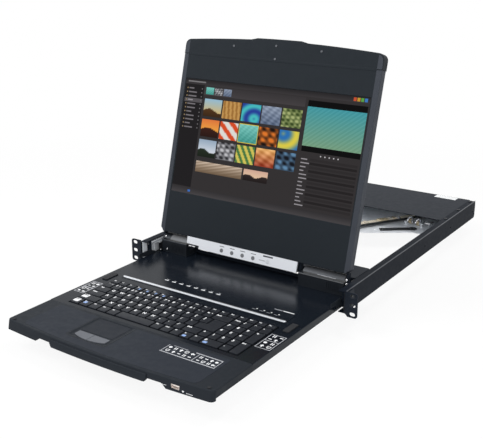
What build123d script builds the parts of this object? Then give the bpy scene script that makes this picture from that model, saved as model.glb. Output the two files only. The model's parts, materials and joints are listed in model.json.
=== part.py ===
"""Rack console drawer: a one-unit slide-out tray with a keyboard, a touchpad and a fold-down wide display.

Millimetres, +Z up, +X to the right seen from the front, +Y to the back of the rack.
The origin is the centre of the ears' hole pattern, on the ears' rear face.
The drawer is drawn pulled out, with the display raised, as it stands in use.
"""
from build123d import *
import math
import os

# Widths, from the keys outwards: tray, display, chassis and rack face
KEY_COLUMNS = 15
PAD_COLUMNS = 4
KEY_PITCH = 17.9
KEYBOARD_HALF_WIDTH = (KEY_COLUMNS + PAD_COLUMNS) * KEY_PITCH / 2
TRAY_MARGIN = 32.65
TRAY_HALF_WIDTH = KEYBOARD_HALF_WIDTH + TRAY_MARGIN
DISPLAY_OVERHANG = 0.8
DISPLAY_HALF_WIDTH = TRAY_HALF_WIDTH + DISPLAY_OVERHANG
SLIDE_ROOM = 15.8
BODY_HALF_WIDTH = TRAY_HALF_WIDTH + SLIDE_ROOM
EAR_REACH = 22.8
PANEL_HALF_WIDTH = BODY_HALF_WIDTH + EAR_REACH
HOLE_EDGE = 8.75
HOLE_HALF_SPACING = PANEL_HALF_WIDTH - HOLE_EDGE

# Rack face and ears
HOLE_PITCH = 15.875
SLOT_LENGTH = 10.4
SLOT_RADIUS = 3.4
PANEL_HALF_HEIGHT = 21.8
EAR_THICKNESS = 2.0
EAR_LEG_LENGTH = 28.0

# Chassis
BODY_TOP = 20.4
BODY_BOTTOM = -18.2
BODY_DEPTH = 616.0
SHEET = 1.5
FLANGE_WIDTH = 12.6
COVER_FRONT = 443.0
COVER_SHEET = 1.2
SIDE_HOLES_Y = (334.0, 469.5, 600.0)
COVER_SCREWS_Y = (456.0, 528.0, 600.0)

# Slides
SLIDE_CENTRE_Z = 1.1
SLIDE_HALF_HEIGHT = 16.0
SLIDE_STEEL = 1.2
SLIDE_FRONT = 14.6
SLIDE_DEPTH = 11.6
SLIDE_TRAVEL = 345.0
INNER_SLIDE_FRONT = 34.0
INNER_SLIDE_REAR = 118.0
SLIDE_SPARE = 23.0
SLIDE_REAR = INNER_SLIDE_REAR + SLIDE_TRAVEL + SLIDE_SPARE
BALL_RADIUS = 1.8

# Tray
DECK_TOP = -5.5
DECK_SHEET = 1.2
TRAY_BOTTOM = -17.65
PAN_FRONT = -250.0
PAN_REAR = 66.0
SHELF_FRONT = PAN_REAR
SHELF_REAR = 120.0
SHELF_TOP = 18.4
CORNER_FRONT = -342.0
FRONT_BOW = 9.0
LIP_BOTTOM = -21.4
LIP_LEAN = 3.5
LIP_WALL = 4.0
CUTOUT_RISE = 6.0
LEFT_CUTOUT = (-122.6, -99.8)
RIGHT_CUTOUT = (92.9, 118.1)
CUTOUT_SLOPE = 10.0
HANDLE_SLOPE = 5.0
HANDLE_REACH = 2.6

# Keyboard
KEYBOARD_FRONT = -240.5
FUNCTION_ROW_DEPTH = 14.0
ROW_DEPTH = 19.8
KEY_GAP = 1.3
KEY_TOP = -4.2
KEY_HEIGHT = 4.0
KEY_TAPER = 12.0
KEY_TRAVEL = 1.6

# Touchpad
PAD_CENTRE_X = -46.5
PAD_WIDTH = 62.0
PAD_FRONT = -303.5
PAD_BACK = -258.0
BUTTON_BACK = -307.5
BUTTON_SIDE_FRONT = -319.5
BUTTON_MIDDLE_FRONT = -326.0
BUTTON_TRAVEL = 0.8

# Display
AXIS_Y = 49.6
AXIS_Z = 12.2
TILT = 15.0
TRIM_WIDTH = 9.8
DISPLAY_FRONT = -15.7
DISPLAY_BACK = 0.9
DISPLAY_BOTTOM = 19.6
CAP_BOTTOM = 359.1
CORNER_TOP = 386.6
ARCH_RISE = 7.4
BULGE_RISE = 2.6
BULGE_HALF_WIDTH = 45.0
SCREEN_MARGIN = 2.4
SCREEN_HALF_WIDTH = DISPLAY_HALF_WIDTH - TRIM_WIDTH - SCREEN_MARGIN
SCREEN_BOTTOM = 98.3
SCREEN_TOP = 313.1
STRIP_THICKNESS = 3.0
OSD_BUTTONS_X = (-56.7, -33.6, -10.5, 12.6)
POWER_BUTTON_X = 43.5
OSD_BUTTON_V = 7.3
OSD_BUTTON_RADIUS = 3.6
OSD_HOLE_RADIUS = 3.8
OSD_TRAVEL = 0.6

# Hinges
SHAFT_RADIUS = 4.0
RUNNING_GAP = 0.05
BLOCK_INSET = 6.7
RIGHT_BLOCK_LENGTH = 88.0
LEFT_BLOCK_LENGTH = 58.5
BLOCK_OUTER = TRAY_HALF_WIDTH - BLOCK_INSET
RIGHT_BLOCK = (BLOCK_OUTER - RIGHT_BLOCK_LENGTH, BLOCK_OUTER)
LEFT_BLOCK = (-BLOCK_OUTER, LEFT_BLOCK_LENGTH - BLOCK_OUTER)
STRIP_LEFT = LEFT_BLOCK[1] + 7.0
STRIP_RIGHT = RIGHT_BLOCK[0] - 4.5
BLOCK_FRONT = 34.5
BLOCK_REAR = 64.6
BLOCK_TOP = 18.5
ARM_THICKNESS = 3.2

# Cable arm
ARM_X = 130.0
ARM_REAR_Y = 560.0
ARM_TRAY_Y = 115.0
LINK_LENGTH = 260.0
LINK_WIDTH = 16.0
LINK_BOTTOM = -14.0
LINK_HEIGHT = 9.0
LINK_SHEET = 1.5
LINK_WALL = 4.5
LEAD_RADIUS = 2.0
LEAD_PITCH = 4.2
PIN_RADIUS = 3.0

parts = {}


def box(x0, x1, y0, y1, z0, z1):
    """A block between two corners."""
    block = Box(x1 - x0, y1 - y0, z1 - z0)
    return Pos((x0 + x1) / 2, (y0 + y1) / 2, (z0 + z1) / 2) * block


def prism_x(points, x0, x1):
    """A (y, z) outline drawn out from x0 to x1."""
    face = make_face(Polyline(*points, close=True))
    return extrude(Plane.YZ.offset(x0) * face, amount=x1 - x0)


def prism_y(points, y0, y1):
    """An (x, z) outline drawn out from y0 to y1."""
    face = make_face(Polyline(*points, close=True))
    return extrude(Plane.XZ.offset(-y1) * face, amount=y1 - y0)


def prism_z(points, z0, z1):
    """An (x, y) outline drawn out from z0 to z1."""
    face = make_face(Polyline(*points, close=True))
    return extrude(Plane.XY.offset(z0) * face, amount=z1 - z0)


def rod_x(radius, x0, x1, y, z):
    """A round bar along X."""
    return Pos((x0 + x1) / 2, y, z) * Rot(0, 90, 0) * Cylinder(radius, x1 - x0)


def rod_y(radius, y0, y1, x, z):
    """A round bar along Y."""
    return Pos(x, (y0 + y1) / 2, z) * Rot(90, 0, 0) * Cylinder(radius, y1 - y0)


def rod_z(radius, z0, z1, x, y):
    """A round bar along Z."""
    return Pos(x, y, (z0 + z1) / 2) * Cylinder(radius, z1 - z0)


def mirrored(shape):
    """The same piece on the other side of the drawer."""
    return mirror(shape, about=Plane.YZ)


def group(pieces):
    """Loose solids that make one sub-part."""
    solids = []
    for piece in pieces:
        solids.extend(piece.solids())
    return Compound(children=solids)


# Chassis: two channels carry the ears, the slides and the covers

SCREW_SHANK = 1.5
SCREW_HOLE = 1.6
SCREW_HEAD = 3.0
SCREW_HEAD_HEIGHT = 1.2
FLANGE_INNER = BODY_HALF_WIDTH - FLANGE_WIDTH
WALL_INNER = BODY_HALF_WIDTH - SHEET
FLANGE_SCREW_X = BODY_HALF_WIDTH - 7.0
EAR_SCREWS_Y = (8.0, 20.0)
EAR_SCREW_Z = 8.0
EAR_LEG_SHEET = 1.8
STOP_FRONT = 13.0
BASE_SCREWS_Y = (470.0, 590.0)
BASE_SHEET = 1.2


def side_channel():
    """Right-hand steel channel, open towards the tray, with a stop tab bent down in front of the slide."""
    outline = [
        (FLANGE_INNER, BODY_TOP), (BODY_HALF_WIDTH, BODY_TOP),
        (BODY_HALF_WIDTH, BODY_BOTTOM), (FLANGE_INNER, BODY_BOTTOM),
        (FLANGE_INNER, BODY_BOTTOM + SHEET), (WALL_INNER, BODY_BOTTOM + SHEET),
        (WALL_INNER, BODY_TOP - SHEET), (FLANGE_INNER, BODY_TOP - SHEET),
    ]
    channel = prism_y(outline, 0, BODY_DEPTH)
    bends = channel.edges().filter_by(Axis.Y).sort_by(Axis.X)[-2:]
    channel = fillet(bends, 1.4)
    stop_outer = WALL_INNER - SLIDE_STEEL - 0.2
    stop = box(FLANGE_INNER, stop_outer, STOP_FRONT, STOP_FRONT + SHEET - 0.2, -14.0, BODY_TOP - SHEET / 2)
    stop -= rod_y(1.9, STOP_FRONT - 1, STOP_FRONT + 2, stop_outer - 3.2, 11.5)
    channel += stop
    corner = 6.0
    for z, sign in ((BODY_TOP, 1), (BODY_BOTTOM, -1)):
        cut = prism_x([
            (BODY_DEPTH - corner, z + sign), (BODY_DEPTH + 1, z + sign), (BODY_DEPTH + 1, z - sign * corner),
            (BODY_DEPTH, z - sign * corner), (BODY_DEPTH - corner * 0.3, z - sign * corner * 0.3),
            (BODY_DEPTH - corner, z),
        ], FLANGE_INNER - 1, BODY_HALF_WIDTH + 1)
        channel -= cut
    for y in SIDE_HOLES_Y:
        channel -= rod_x(1.9, WALL_INNER - 1, BODY_HALF_WIDTH + 1, y, -1.0)
    for y in EAR_SCREWS_Y:
        for z in (-EAR_SCREW_Z, EAR_SCREW_Z):
            channel -= rod_x(SCREW_HOLE, WALL_INNER - 1, BODY_HALF_WIDTH + 1, y, z)
    for y in COVER_SCREWS_Y:
        channel -= rod_z(SCREW_HOLE, BODY_TOP - SHEET - 1, BODY_TOP + 1, FLANGE_SCREW_X, y)
    for y in BASE_SCREWS_Y:
        channel -= rod_z(SCREW_HOLE, BODY_BOTTOM - 1, BODY_BOTTOM + SHEET + 1, FLANGE_SCREW_X, y)
    return channel


def mounting_ear():
    """Right-hand ear: a slotted face plate with a leg bolted along the channel."""
    inner = BODY_HALF_WIDTH
    chamfer = 5.5
    face_outline = [
        (inner, -PANEL_HALF_HEIGHT + chamfer), (inner + chamfer, -PANEL_HALF_HEIGHT),
        (PANEL_HALF_WIDTH, -PANEL_HALF_HEIGHT), (PANEL_HALF_WIDTH, PANEL_HALF_HEIGHT),
        (inner, PANEL_HALF_HEIGHT),
    ]
    ear = prism_y(face_outline, -EAR_THICKNESS, 0)
    outer_edges = ear.edges().filter_by(Axis.Y).sort_by(Axis.X)[-2:]
    ear = fillet(outer_edges, 4.5)
    for z in (-HOLE_PITCH, 0, HOLE_PITCH):
        slot = Plane.XZ.offset(-1) * Pos(HOLE_HALF_SPACING, z) * SlotOverall(SLOT_LENGTH, 2 * SLOT_RADIUS)
        ear -= extrude(slot, amount=EAR_THICKNESS + 2)
    leg_half = 17.5
    leg = box(inner, inner + EAR_LEG_SHEET, -EAR_THICKNESS, EAR_LEG_LENGTH, -leg_half, leg_half)
    rear_edges = leg.edges().filter_by(Axis.X).sort_by(Axis.Y)[-2:]
    leg = fillet(rear_edges, 5.0)
    for y in EAR_SCREWS_Y:
        for z in (-EAR_SCREW_Z, EAR_SCREW_Z):
            leg -= rod_x(SCREW_HOLE, inner - 1, inner + EAR_LEG_SHEET + 1, y, z)
    return ear + leg


def rear_cover():
    """Top sheet over the rear of the chassis, with edges stepped down under the flanges."""
    gap = 0.1
    edge = FLANGE_INNER - gap
    tab_top = BODY_TOP - SHEET
    tab_bottom = tab_top - COVER_SHEET
    tab_outer = BODY_HALF_WIDTH - 3.0
    half = [(edge, BODY_TOP), (edge, tab_top), (tab_outer, tab_top), (tab_outer, tab_bottom),
            (edge - COVER_SHEET, tab_bottom), (edge - COVER_SHEET, BODY_TOP - COVER_SHEET)]
    outline = half + [(-x, z) for x, z in reversed(half)]
    cover = prism_y(outline, COVER_FRONT, BODY_DEPTH - SHEET)
    notch = 7.0
    for side in (-1, 1):
        for y in COVER_SCREWS_Y:
            cover -= rod_z(SCREW_HOLE, tab_bottom - 1, tab_top + 1, side * FLANGE_SCREW_X, y)
        cover -= box(side * tab_outer - notch, side * tab_outer + notch, BODY_DEPTH - SHEET - notch,
                     BODY_DEPTH, tab_bottom - 1, tab_top)
    return cover


def rear_base_plate():
    """Bottom sheet under the rear of the chassis: slanted front edge, lanced cable tie, board posts."""
    top = BODY_BOTTOM
    bottom = BODY_BOTTOM - BASE_SHEET
    outline = [
        (-WALL_INNER, 384.0), (60.0, 385.0), (146.0, 443.0), (WALL_INNER, 446.0),
        (WALL_INNER, BODY_DEPTH), (-WALL_INNER, BODY_DEPTH),
    ]
    plate = prism_z(outline, bottom, top)
    for x, y in ((-150.0, 430.0), (-90.0, 430.0), (-30.0, 430.0)):
        window = Plane.XY.offset(bottom - 1) * Pos(x, y) * SlotOverall(44, 12)
        plate -= extrude(window, amount=BASE_SHEET + 2)
    # The lance is a bridge of sheet pressed up out of the plate, for a cable tie
    lance_x, lance_y = 152.0, 515.0
    lance_width, lance_reach, lance_rise = 8.0, 14.0, 3.0
    plate -= box(lance_x - lance_reach / 2, lance_x + lance_reach / 2, lance_y - lance_width / 2,
                 lance_y + lance_width / 2, bottom - 1, top + 1)
    arch = [(lance_x - lance_reach / 2 - 1, top), (lance_x - lance_reach / 2 + 2, top + lance_rise),
            (lance_x + lance_reach / 2 - 2, top + lance_rise), (lance_x + lance_reach / 2 + 1, top),
            (lance_x + lance_reach / 2 - 1, top),
            (lance_x + lance_reach / 2 - 3, top + lance_rise - BASE_SHEET),
            (lance_x - lance_reach / 2 + 3, top + lance_rise - BASE_SHEET),
            (lance_x - lance_reach / 2 + 1, top)]
    plate += prism_y(arch, lance_y - lance_width / 2 + 0.5, lance_y + lance_width / 2 - 0.5)
    for x in BOARD_POSTS_X:
        for y in BOARD_POSTS_Y:
            plate += rod_z(2.5, top, BOARD_BOTTOM, x, y)
    for x in (112.0, 148.0):
        plate += rod_z(3.2, top, LINK_BOTTOM + 4.0, x, 486.0)
    plate += rod_z(7.0, top, LINK_BOTTOM - 0.3, ARM_X, ARM_REAR_Y)
    plate += rod_z(PIN_RADIUS, top, LINK_BOTTOM + LINK_HEIGHT, ARM_X, ARM_REAR_Y)
    for side in (-1, 1):
        for y in BASE_SCREWS_Y:
            plate -= rod_z(SCREW_HOLE, bottom - 1, top + 1, side * FLANGE_SCREW_X, y)
    return plate


BOARD_POSTS_Y = (578.0, 604.0)
BOARD_BOTTOM = -12.0
BOARD_SHEET = 1.6
BOARD_LEFT = 19.0 - WALL_INNER
BOARD_RIGHT = 92.0
BOARD_POSTS_X = (BOARD_LEFT + 8.0, (BOARD_LEFT + BOARD_RIGHT) / 2, BOARD_RIGHT - 12.0)
BOARD_FRONT = 572.0
PANEL_FACE = BODY_DEPTH - SHEET
INLET_X = 150.0
VIDEO_X = -20.0
USB_B_X = -70.0
NETWORK_X = -120.0
CONNECTOR_Z = BOARD_BOTTOM + BOARD_SHEET


def connector_outline(kind, grow=0.0):
    """Face of each rear connector as (centre x, centre z, width, height)."""
    sizes = {
        "inlet": (INLET_X, 0.0, 28.0, 20.0),
        "video": (VIDEO_X, CONNECTOR_Z + 6.5, 17.0, 9.0),
        "usb_b": (USB_B_X, CONNECTOR_Z + 6.0, 12.0, 11.0),
        "network": (NETWORK_X, CONNECTOR_Z + 7.0, 16.0, 13.5),
    }
    x, z, width, height = sizes[kind]
    return x, z, width + 2 * grow, height + 2 * grow


def rear_panel():
    """Rear wall with an opening for each connector and a row of vent slots."""
    panel = box(-WALL_INNER, WALL_INNER, PANEL_FACE, BODY_DEPTH, BODY_BOTTOM, BODY_TOP - SHEET)
    for kind in ("inlet", "video", "usb_b", "network"):
        x, z, width, height = connector_outline(kind, 0.2)
        panel -= box(x - width / 2, x + width / 2, PANEL_FACE - 1, BODY_DEPTH + 1, z - height / 2,
                     z + height / 2)
    for column in range(10):
        x = 28.0 + column * 8.0
        slot = Plane.XZ.offset(-BODY_DEPTH - 1) * Pos(x, 2.0) * SlotOverall(18, 3.0, rotation=90)
        panel -= extrude(slot, amount=SHEET + 2)
    corner = 6.5
    for side in (-1, 1):
        panel -= box(side * WALL_INNER - corner, side * WALL_INNER + corner, PANEL_FACE - 1, BODY_DEPTH + 1,
                     BODY_TOP - SHEET - corner, BODY_TOP)
    return panel


def interface_board():
    """Circuit board on its posts, with its chips, coils and the rear connectors in place."""
    board = box(BOARD_LEFT, BOARD_RIGHT, BOARD_FRONT, PANEL_FACE - 0.3, BOARD_BOTTOM, CONNECTOR_Z)
    for x, y, width, depth, height in (
        (BOARD_LEFT + 26.0, 586.0, 14.0, 14.0, 2.0), (-142.0, 584.0, 10.0, 18.0, 3.0),
        (-98.0, 585.0, 16.0, 16.0, 5.0),
        (-45.0, 584.0, 12.0, 12.0, 2.0), (22.0, 586.0, 20.0, 14.0, 9.0), (58.0, 586.0, 9.0, 18.0, 2.4),
    ):
        board += box(x - width / 2, x + width / 2, y - depth / 2, y + depth / 2, CONNECTOR_Z,
                     CONNECTOR_Z + height)
    for x in (40.0, 72.0):
        board += rod_z(4.0, CONNECTOR_Z, CONNECTOR_Z + 11.0, x, 604.0)
    for kind, depth, wall in (("video", 12.0, 0.8), ("usb_b", 16.0, 0.7), ("network", 20.0, 0.9)):
        x, z, width, height = connector_outline(kind)
        low = CONNECTOR_Z
        body = box(x - width / 2, x + width / 2, BODY_DEPTH - depth, BODY_DEPTH + 1.0, z - height / 2,
                   z + height / 2)
        body -= box(x - width / 2 + wall, x + width / 2 - wall, BODY_DEPTH - depth + 2, BODY_DEPTH + 2,
                    z - height / 2 + wall, z + height / 2 - wall)
        if kind != "network":
            tongue = min(width, height) * 0.3
            body += box(x - width / 2 + 3, x + width / 2 - 3, BODY_DEPTH - depth + 1, BODY_DEPTH - 1.0,
                        z - tongue / 2, z + tongue / 2)
        board += body
        board += box(x - width / 2, x + width / 2, BODY_DEPTH - depth, PANEL_FACE - 1, low - 0.5,
                     z - height / 2 + 0.5)
    x, z, width, height = connector_outline("inlet")
    inlet = box(x - width / 2, x + width / 2, BODY_DEPTH - 26, BODY_DEPTH + 1.5, z - height / 2,
                z + height / 2)
    inlet -= box(x - width / 2 + 3, x + width / 2 - 3, BODY_DEPTH - 15, BODY_DEPTH + 2, z - height / 2 + 3,
                 z + height / 2 - 3)
    for pin_x, pin_z in ((-7.0, 0.0), (7.0, 0.0), (0.0, 2.5)):
        inlet += box(x + pin_x - 1, x + pin_x + 1, BODY_DEPTH - 16, BODY_DEPTH - 4, z + pin_z - 2,
                     z + pin_z + 2)
    flange = box(x - width / 2 - 5, x + width / 2 + 5, PANEL_FACE - 2.0, PANEL_FACE, z - height / 2 - 1.5,
                 z + height / 2 + 1.5)
    flange -= box(x - width / 2 + 3, x + width / 2 - 3, PANEL_FACE - 3, PANEL_FACE + 1, z - height / 2 + 3,
                  z + height / 2 - 3)
    return group([board, inlet + flange])


def outer_slide():
    """Right-hand fixed rail: a rolled channel with inturned lips, and a beaded foot in front."""
    web = WALL_INNER
    mouth = web - SLIDE_DEPTH
    top = SLIDE_HALF_HEIGHT
    lip = 2.6
    half = [(web, top), (mouth, top), (mouth, top - lip), (mouth + SLIDE_STEEL, top - lip),
            (mouth + SLIDE_STEEL, top - SLIDE_STEEL), (web - SLIDE_STEEL, top - SLIDE_STEEL)]
    outline = half + [(x, -z) for x, z in reversed(half)]
    rail = prism_y([(x, z + SLIDE_CENTRE_Z) for x, z in outline], SLIDE_FRONT, SLIDE_REAR)
    outer_bends = rail.edges().filter_by(Axis.Y).group_by(Axis.Z)
    rail = fillet(list(outer_bends[-1]) + list(outer_bends[0]), 1.1)
    foot_low = BODY_BOTTOM + SHEET + 0.3
    foot_high = BODY_TOP - SHEET - 0.3
    rail += box(web - SLIDE_STEEL, web, 0.6, SLIDE_FRONT + 2, foot_low, foot_high)
    for y in (4.0, 9.0):
        rail += rod_z(0.8, foot_low + 3, foot_high - 3, web - SLIDE_STEEL, y)
    for y in (40.0, 160.0, 300.0, 440.0):
        window = Plane.YZ.offset(web - SLIDE_STEEL - 1) * Pos(y, SLIDE_CENTRE_Z) * SlotOverall(16, 6)
        rail -= extrude(window, amount=SLIDE_STEEL + 2)
    return rail


RETAINER_FRONT = 18.0
RETAINER_SPARE = 29.5
RETAINER_REAR = SLIDE_REAR - SLIDE_TRAVEL / 2 - RETAINER_SPARE
BALLS_Y = (52.0, 84.0, 116.0, 212.0, 242.0, 272.0)


def ball_retainer():
    """Right-hand ball cage: a thin folded strip that keeps two rows of balls apart."""
    web = WALL_INNER - 2.6
    inner = WALL_INNER - 8.6
    centre = SLIDE_HALF_HEIGHT - SLIDE_STEEL - BALL_RADIUS - 0.1
    strip = 0.8
    outline = [
        (inner, centre + strip / 2), (web, centre + strip / 2), (web, -centre - strip / 2),
        (inner, -centre - strip / 2), (inner, -centre + strip / 2), (web - strip, -centre + strip / 2),
        (web - strip, centre - strip / 2), (inner, centre - strip / 2),
    ]
    cage = prism_y([(x, z + SLIDE_CENTRE_Z) for x, z in outline], RETAINER_FRONT, RETAINER_REAR)
    for y in (100.0, 150.0, 200.0, 250.0):
        window = Plane.YZ.offset(web - strip - 1) * Pos(y, SLIDE_CENTRE_Z) * SlotOverall(30, 14)
        cage -= extrude(window, amount=strip + 2)
    for y in BALLS_Y:
        for sign in (-1, 1):
            ball = Sphere(BALL_RADIUS)
            cage += Pos((inner + web) / 2 - 0.4, y, SLIDE_CENTRE_Z + sign * centre) * ball
    return cage


NOSE_FRONT = 23.0
NOSE_INNER = TRAY_HALF_WIDTH + 2.8
NOSE_WIDTH = 6.0


def inner_slide():
    """Right-hand moving rail, riveted to the tray's side bracket, with a nose that meets the stop tab."""
    web = TRAY_HALF_WIDTH
    reach = WALL_INNER - 4.4
    race = SLIDE_HALF_HEIGHT - SLIDE_STEEL - 2 * BALL_RADIUS - 0.2
    half = [(web, race), (reach, race), (reach, race - SLIDE_STEEL), (web + SLIDE_STEEL, race - SLIDE_STEEL)]
    outline = half + [(x, -z) for x, z in reversed(half)]
    rail = prism_y([(x, z + SLIDE_CENTRE_Z) for x, z in outline], INNER_SLIDE_FRONT, INNER_SLIDE_REAR)
    nose_top = SLIDE_CENTRE_Z + race
    rail += box(NOSE_INNER, reach, NOSE_FRONT, INNER_SLIDE_FRONT + 1, nose_top - SLIDE_STEEL, nose_top)
    rail += box(NOSE_INNER, NOSE_INNER + NOSE_WIDTH, NOSE_FRONT, NOSE_FRONT + SLIDE_STEEL,
                SLIDE_CENTRE_Z - 8.0, nose_top)
    for y in (48.0, 104.0):
        rail += rod_x(2.6, web + SLIDE_STEEL, web + SLIDE_STEEL + 1.0, y, SLIDE_CENTRE_Z)
    return rail


LATCH_PIVOT_Y = 22.0
LATCH_PIVOT_Z = -11.6
LATCH_PIN = 2.0
LATCH_INNER = DISPLAY_HALF_WIDTH + 0.4
LATCH_OUTER = LATCH_INNER + 1.2


def slide_latch():
    """Right-hand release lever on the tray's side, with a thumb pad at its front end."""
    outline = [(28.0, -15.0), (28.0, -6.0), (8.0, 3.0), (-24.0, 3.5), (-24.0, -4.0), (-8.0, -5.5),
               (12.0, -15.0)]
    lever = prism_x(outline, LATCH_INNER, LATCH_OUTER)
    upright = lever.edges().filter_by(Axis.X)
    lever = fillet(upright, 0.9)
    for step in range(4):
        y = -22.0 + step * 3.0
        lever -= box(LATCH_OUTER - 0.4, LATCH_OUTER + 1, y, y + 1.2, -6.0, 5.0)
    pin_end = TRAY_HALF_WIDTH - DECK_SHEET - 1.0
    lever += rod_x(3.2, TRAY_HALF_WIDTH + 0.3, LATCH_INNER + 0.2, LATCH_PIVOT_Y, LATCH_PIVOT_Z)
    return lever + rod_x(LATCH_PIN, pin_end, LATCH_INNER + 0.2, LATCH_PIVOT_Y, LATCH_PIVOT_Z)


def screw(head_at, direction, length):
    """Pan-head screw: its head stands on head_at and its shank runs along direction."""
    axis = Vector(*direction)
    origin = Vector(*head_at)
    plane = Plane(origin=origin, z_dir=axis)
    shank = extrude(plane * Circle(SCREW_SHANK), amount=length)
    head_plane = Plane(origin=origin - axis * SCREW_HEAD_HEIGHT, z_dir=axis)
    head = extrude(head_plane * Circle(SCREW_HEAD), amount=SCREW_HEAD_HEIGHT)
    head -= extrude(head_plane * RegularPolygon(1.5, 6), amount=0.7)
    return shank + head


def chassis_screws():
    """Screws of the ears, the rear cover and the base plate."""
    screws = []
    leg_face = BODY_HALF_WIDTH + EAR_LEG_SHEET
    for side in (-1, 1):
        for y in EAR_SCREWS_Y:
            for z in (-EAR_SCREW_Z, EAR_SCREW_Z):
                screws.append(screw((side * leg_face, y, z), (-side, 0, 0), EAR_LEG_SHEET + SHEET))
        for y in COVER_SCREWS_Y:
            screws.append(screw((side * FLANGE_SCREW_X, y, BODY_TOP), (0, 0, -1), SHEET + COVER_SHEET))
        for y in BASE_SCREWS_Y:
            screws.append(screw((side * FLANGE_SCREW_X, y, BODY_BOTTOM - BASE_SHEET), (0, 0, 1),
                                BASE_SHEET + SHEET))
    return group(screws)


# Tray: a folded pan with a moulded front, carried by two tall side brackets at the rear

WELL_HALF_WIDTH = KEYBOARD_HALF_WIDTH + 1.0
WELL_FRONT = KEYBOARD_FRONT - 1.0
KEYBOARD_BACK = KEYBOARD_FRONT + 5 * ROW_DEPTH + FUNCTION_ROW_DEPTH
WELL_BACK = KEYBOARD_BACK + 1.0
BRACKET_FRONT = 33.0
BRACKET_SHEET = DECK_SHEET
PAN_INNER = TRAY_HALF_WIDTH - DECK_SHEET


def tray_pan():
    """Black deck sheet with folded sides, a rear wall and the keyboard opening."""
    deck = box(-PAN_INNER, PAN_INNER, PAN_FRONT, PAN_REAR, DECK_TOP - DECK_SHEET, DECK_TOP)
    deck -= box(-WELL_HALF_WIDTH, WELL_HALF_WIDTH, WELL_FRONT, WELL_BACK, DECK_TOP - 3, DECK_TOP + 1)
    deck += box(-PAN_INNER, PAN_INNER, PAN_REAR - DECK_SHEET, PAN_REAR, TRAY_BOTTOM,
                DECK_TOP - DECK_SHEET / 2)
    wall = box(PAN_INNER, TRAY_HALF_WIDTH, PAN_FRONT, BRACKET_FRONT, TRAY_BOTTOM, DECK_TOP)
    top_edge = wall.edges().filter_by(Axis.Y).sort_by(Axis.Z)[-2:].sort_by(Axis.X)[-1]
    wall = fillet(top_edge, 0.9)
    wall -= rod_x(LATCH_PIN + RUNNING_GAP, PAN_INNER - 1, TRAY_HALF_WIDTH + 1, LATCH_PIVOT_Y, LATCH_PIVOT_Z)
    return deck + wall + mirrored(wall)


def tray_bottom_plate():
    """Bottom sheet of the tray, with rows of vent slots under the electronics."""
    plate = box(-PAN_INNER, PAN_INNER, -326.0, PAN_REAR - DECK_SHEET, TRAY_BOTTOM, TRAY_BOTTOM + 1.0)
    for row in (-80.0, -68.0, -56.0):
        for column in range(-4, 5):
            slot = Plane.XY.offset(TRAY_BOTTOM - 1) * Pos(column * 34.0, row) * SlotOverall(24, 3.2)
            plate -= extrude(slot, amount=3)
    return plate


def side_bracket():
    """Right-hand tall bracket that carries the moving rail and the rear shelf."""
    inner = TRAY_HALF_WIDTH - BRACKET_SHEET
    shelf_underside = SHELF_TOP - DECK_SHEET
    outline = [(BRACKET_FRONT, TRAY_BOTTOM), (SHELF_REAR, TRAY_BOTTOM), (SHELF_REAR, shelf_underside),
               (BRACKET_FRONT + 19.0, shelf_underside), (BRACKET_FRONT + 1.0, 2.0), (BRACKET_FRONT, -3.0)]
    wall = prism_x(outline, inner, TRAY_HALF_WIDTH)
    wall -= extrude(Plane.YZ.offset(inner - 1) * Pos(84.0, -14.0) * SlotOverall(30, 5),
                    amount=BRACKET_SHEET + 2)
    tab = box(inner - 9.0, inner, SHELF_FRONT + 4, SHELF_REAR - 2, shelf_underside - BRACKET_SHEET,
              shelf_underside)
    return wall + tab


def rear_shelf():
    """Flat cover behind the display, folded down at its front as a wall behind the hinge blocks."""
    half = TRAY_HALF_WIDTH
    shelf = box(-half, half, SHELF_FRONT, SHELF_REAR, SHELF_TOP - DECK_SHEET, SHELF_TOP)
    corners = shelf.edges().filter_by(Axis.Z)
    shelf = fillet(corners, 1.5)
    wall_half = half - BRACKET_SHEET - 0.1
    wall = box(-wall_half, wall_half, SHELF_FRONT, SHELF_FRONT + DECK_SHEET, TRAY_BOTTOM + 2.0,
               SHELF_TOP - DECK_SHEET / 2)
    for x in (-118.0, 88.0):
        window = Plane.XZ.offset(-SHELF_FRONT - 2) * Pos(x, 4.0) * SlotOverall(22, 7)
        wall -= extrude(window, amount=4)
    return shelf + wall


def bowed_front(y_corner, half_width, y_back, z, corner_radius):
    """Plan outline of the tray's front: straight sides and a front edge bowed as one arc."""
    left = (-half_width, y_corner)
    middle = (0, y_corner - FRONT_BOW)
    right = (half_width, y_corner)
    front = ThreePointArc(left, middle, right)
    rest = Polyline(right, (half_width, y_back), (-half_width, y_back), left)
    face = make_face(Curve() + [front, rest])
    if corner_radius:
        front_corners = face.vertices().sort_by(Axis.Y)[:2]
        face = fillet(front_corners, corner_radius)
    return Plane.XY.offset(z) * face


def front_block(offset, half_width, y_back, bottom, top):
    """Solid between two bowed outlines, leaning forward towards its bottom edge."""
    lean = LIP_LEAN * (top - bottom) / (DECK_TOP - LIP_BOTTOM)
    upper = bowed_front(CORNER_FRONT - offset, half_width, y_back, top, 7.0)
    lower = bowed_front(CORNER_FRONT - offset - lean, half_width, y_back, bottom, 7.0)
    return loft([lower.face(), upper.face()], ruled=True)


PALM_HALF = KEYBOARD_HALF_WIDTH + 1.0
PALM_BACK = -256.5
PALM_SHEET = 1.2
PALM_STAND = 0.25
PALM_MARGIN = 3.2
FRAME_HALF_X = 41.0
FRAME_FRONT = -331.5
FRAME_BACK = -253.5
USB_X = TRAY_HALF_WIDTH - 61.5
USB_Z = -15.3
USB_WIDTH = 14.2
USB_HEIGHT = 6.4
USB_FRONT = -348.2
SKIN = 3.2


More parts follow.
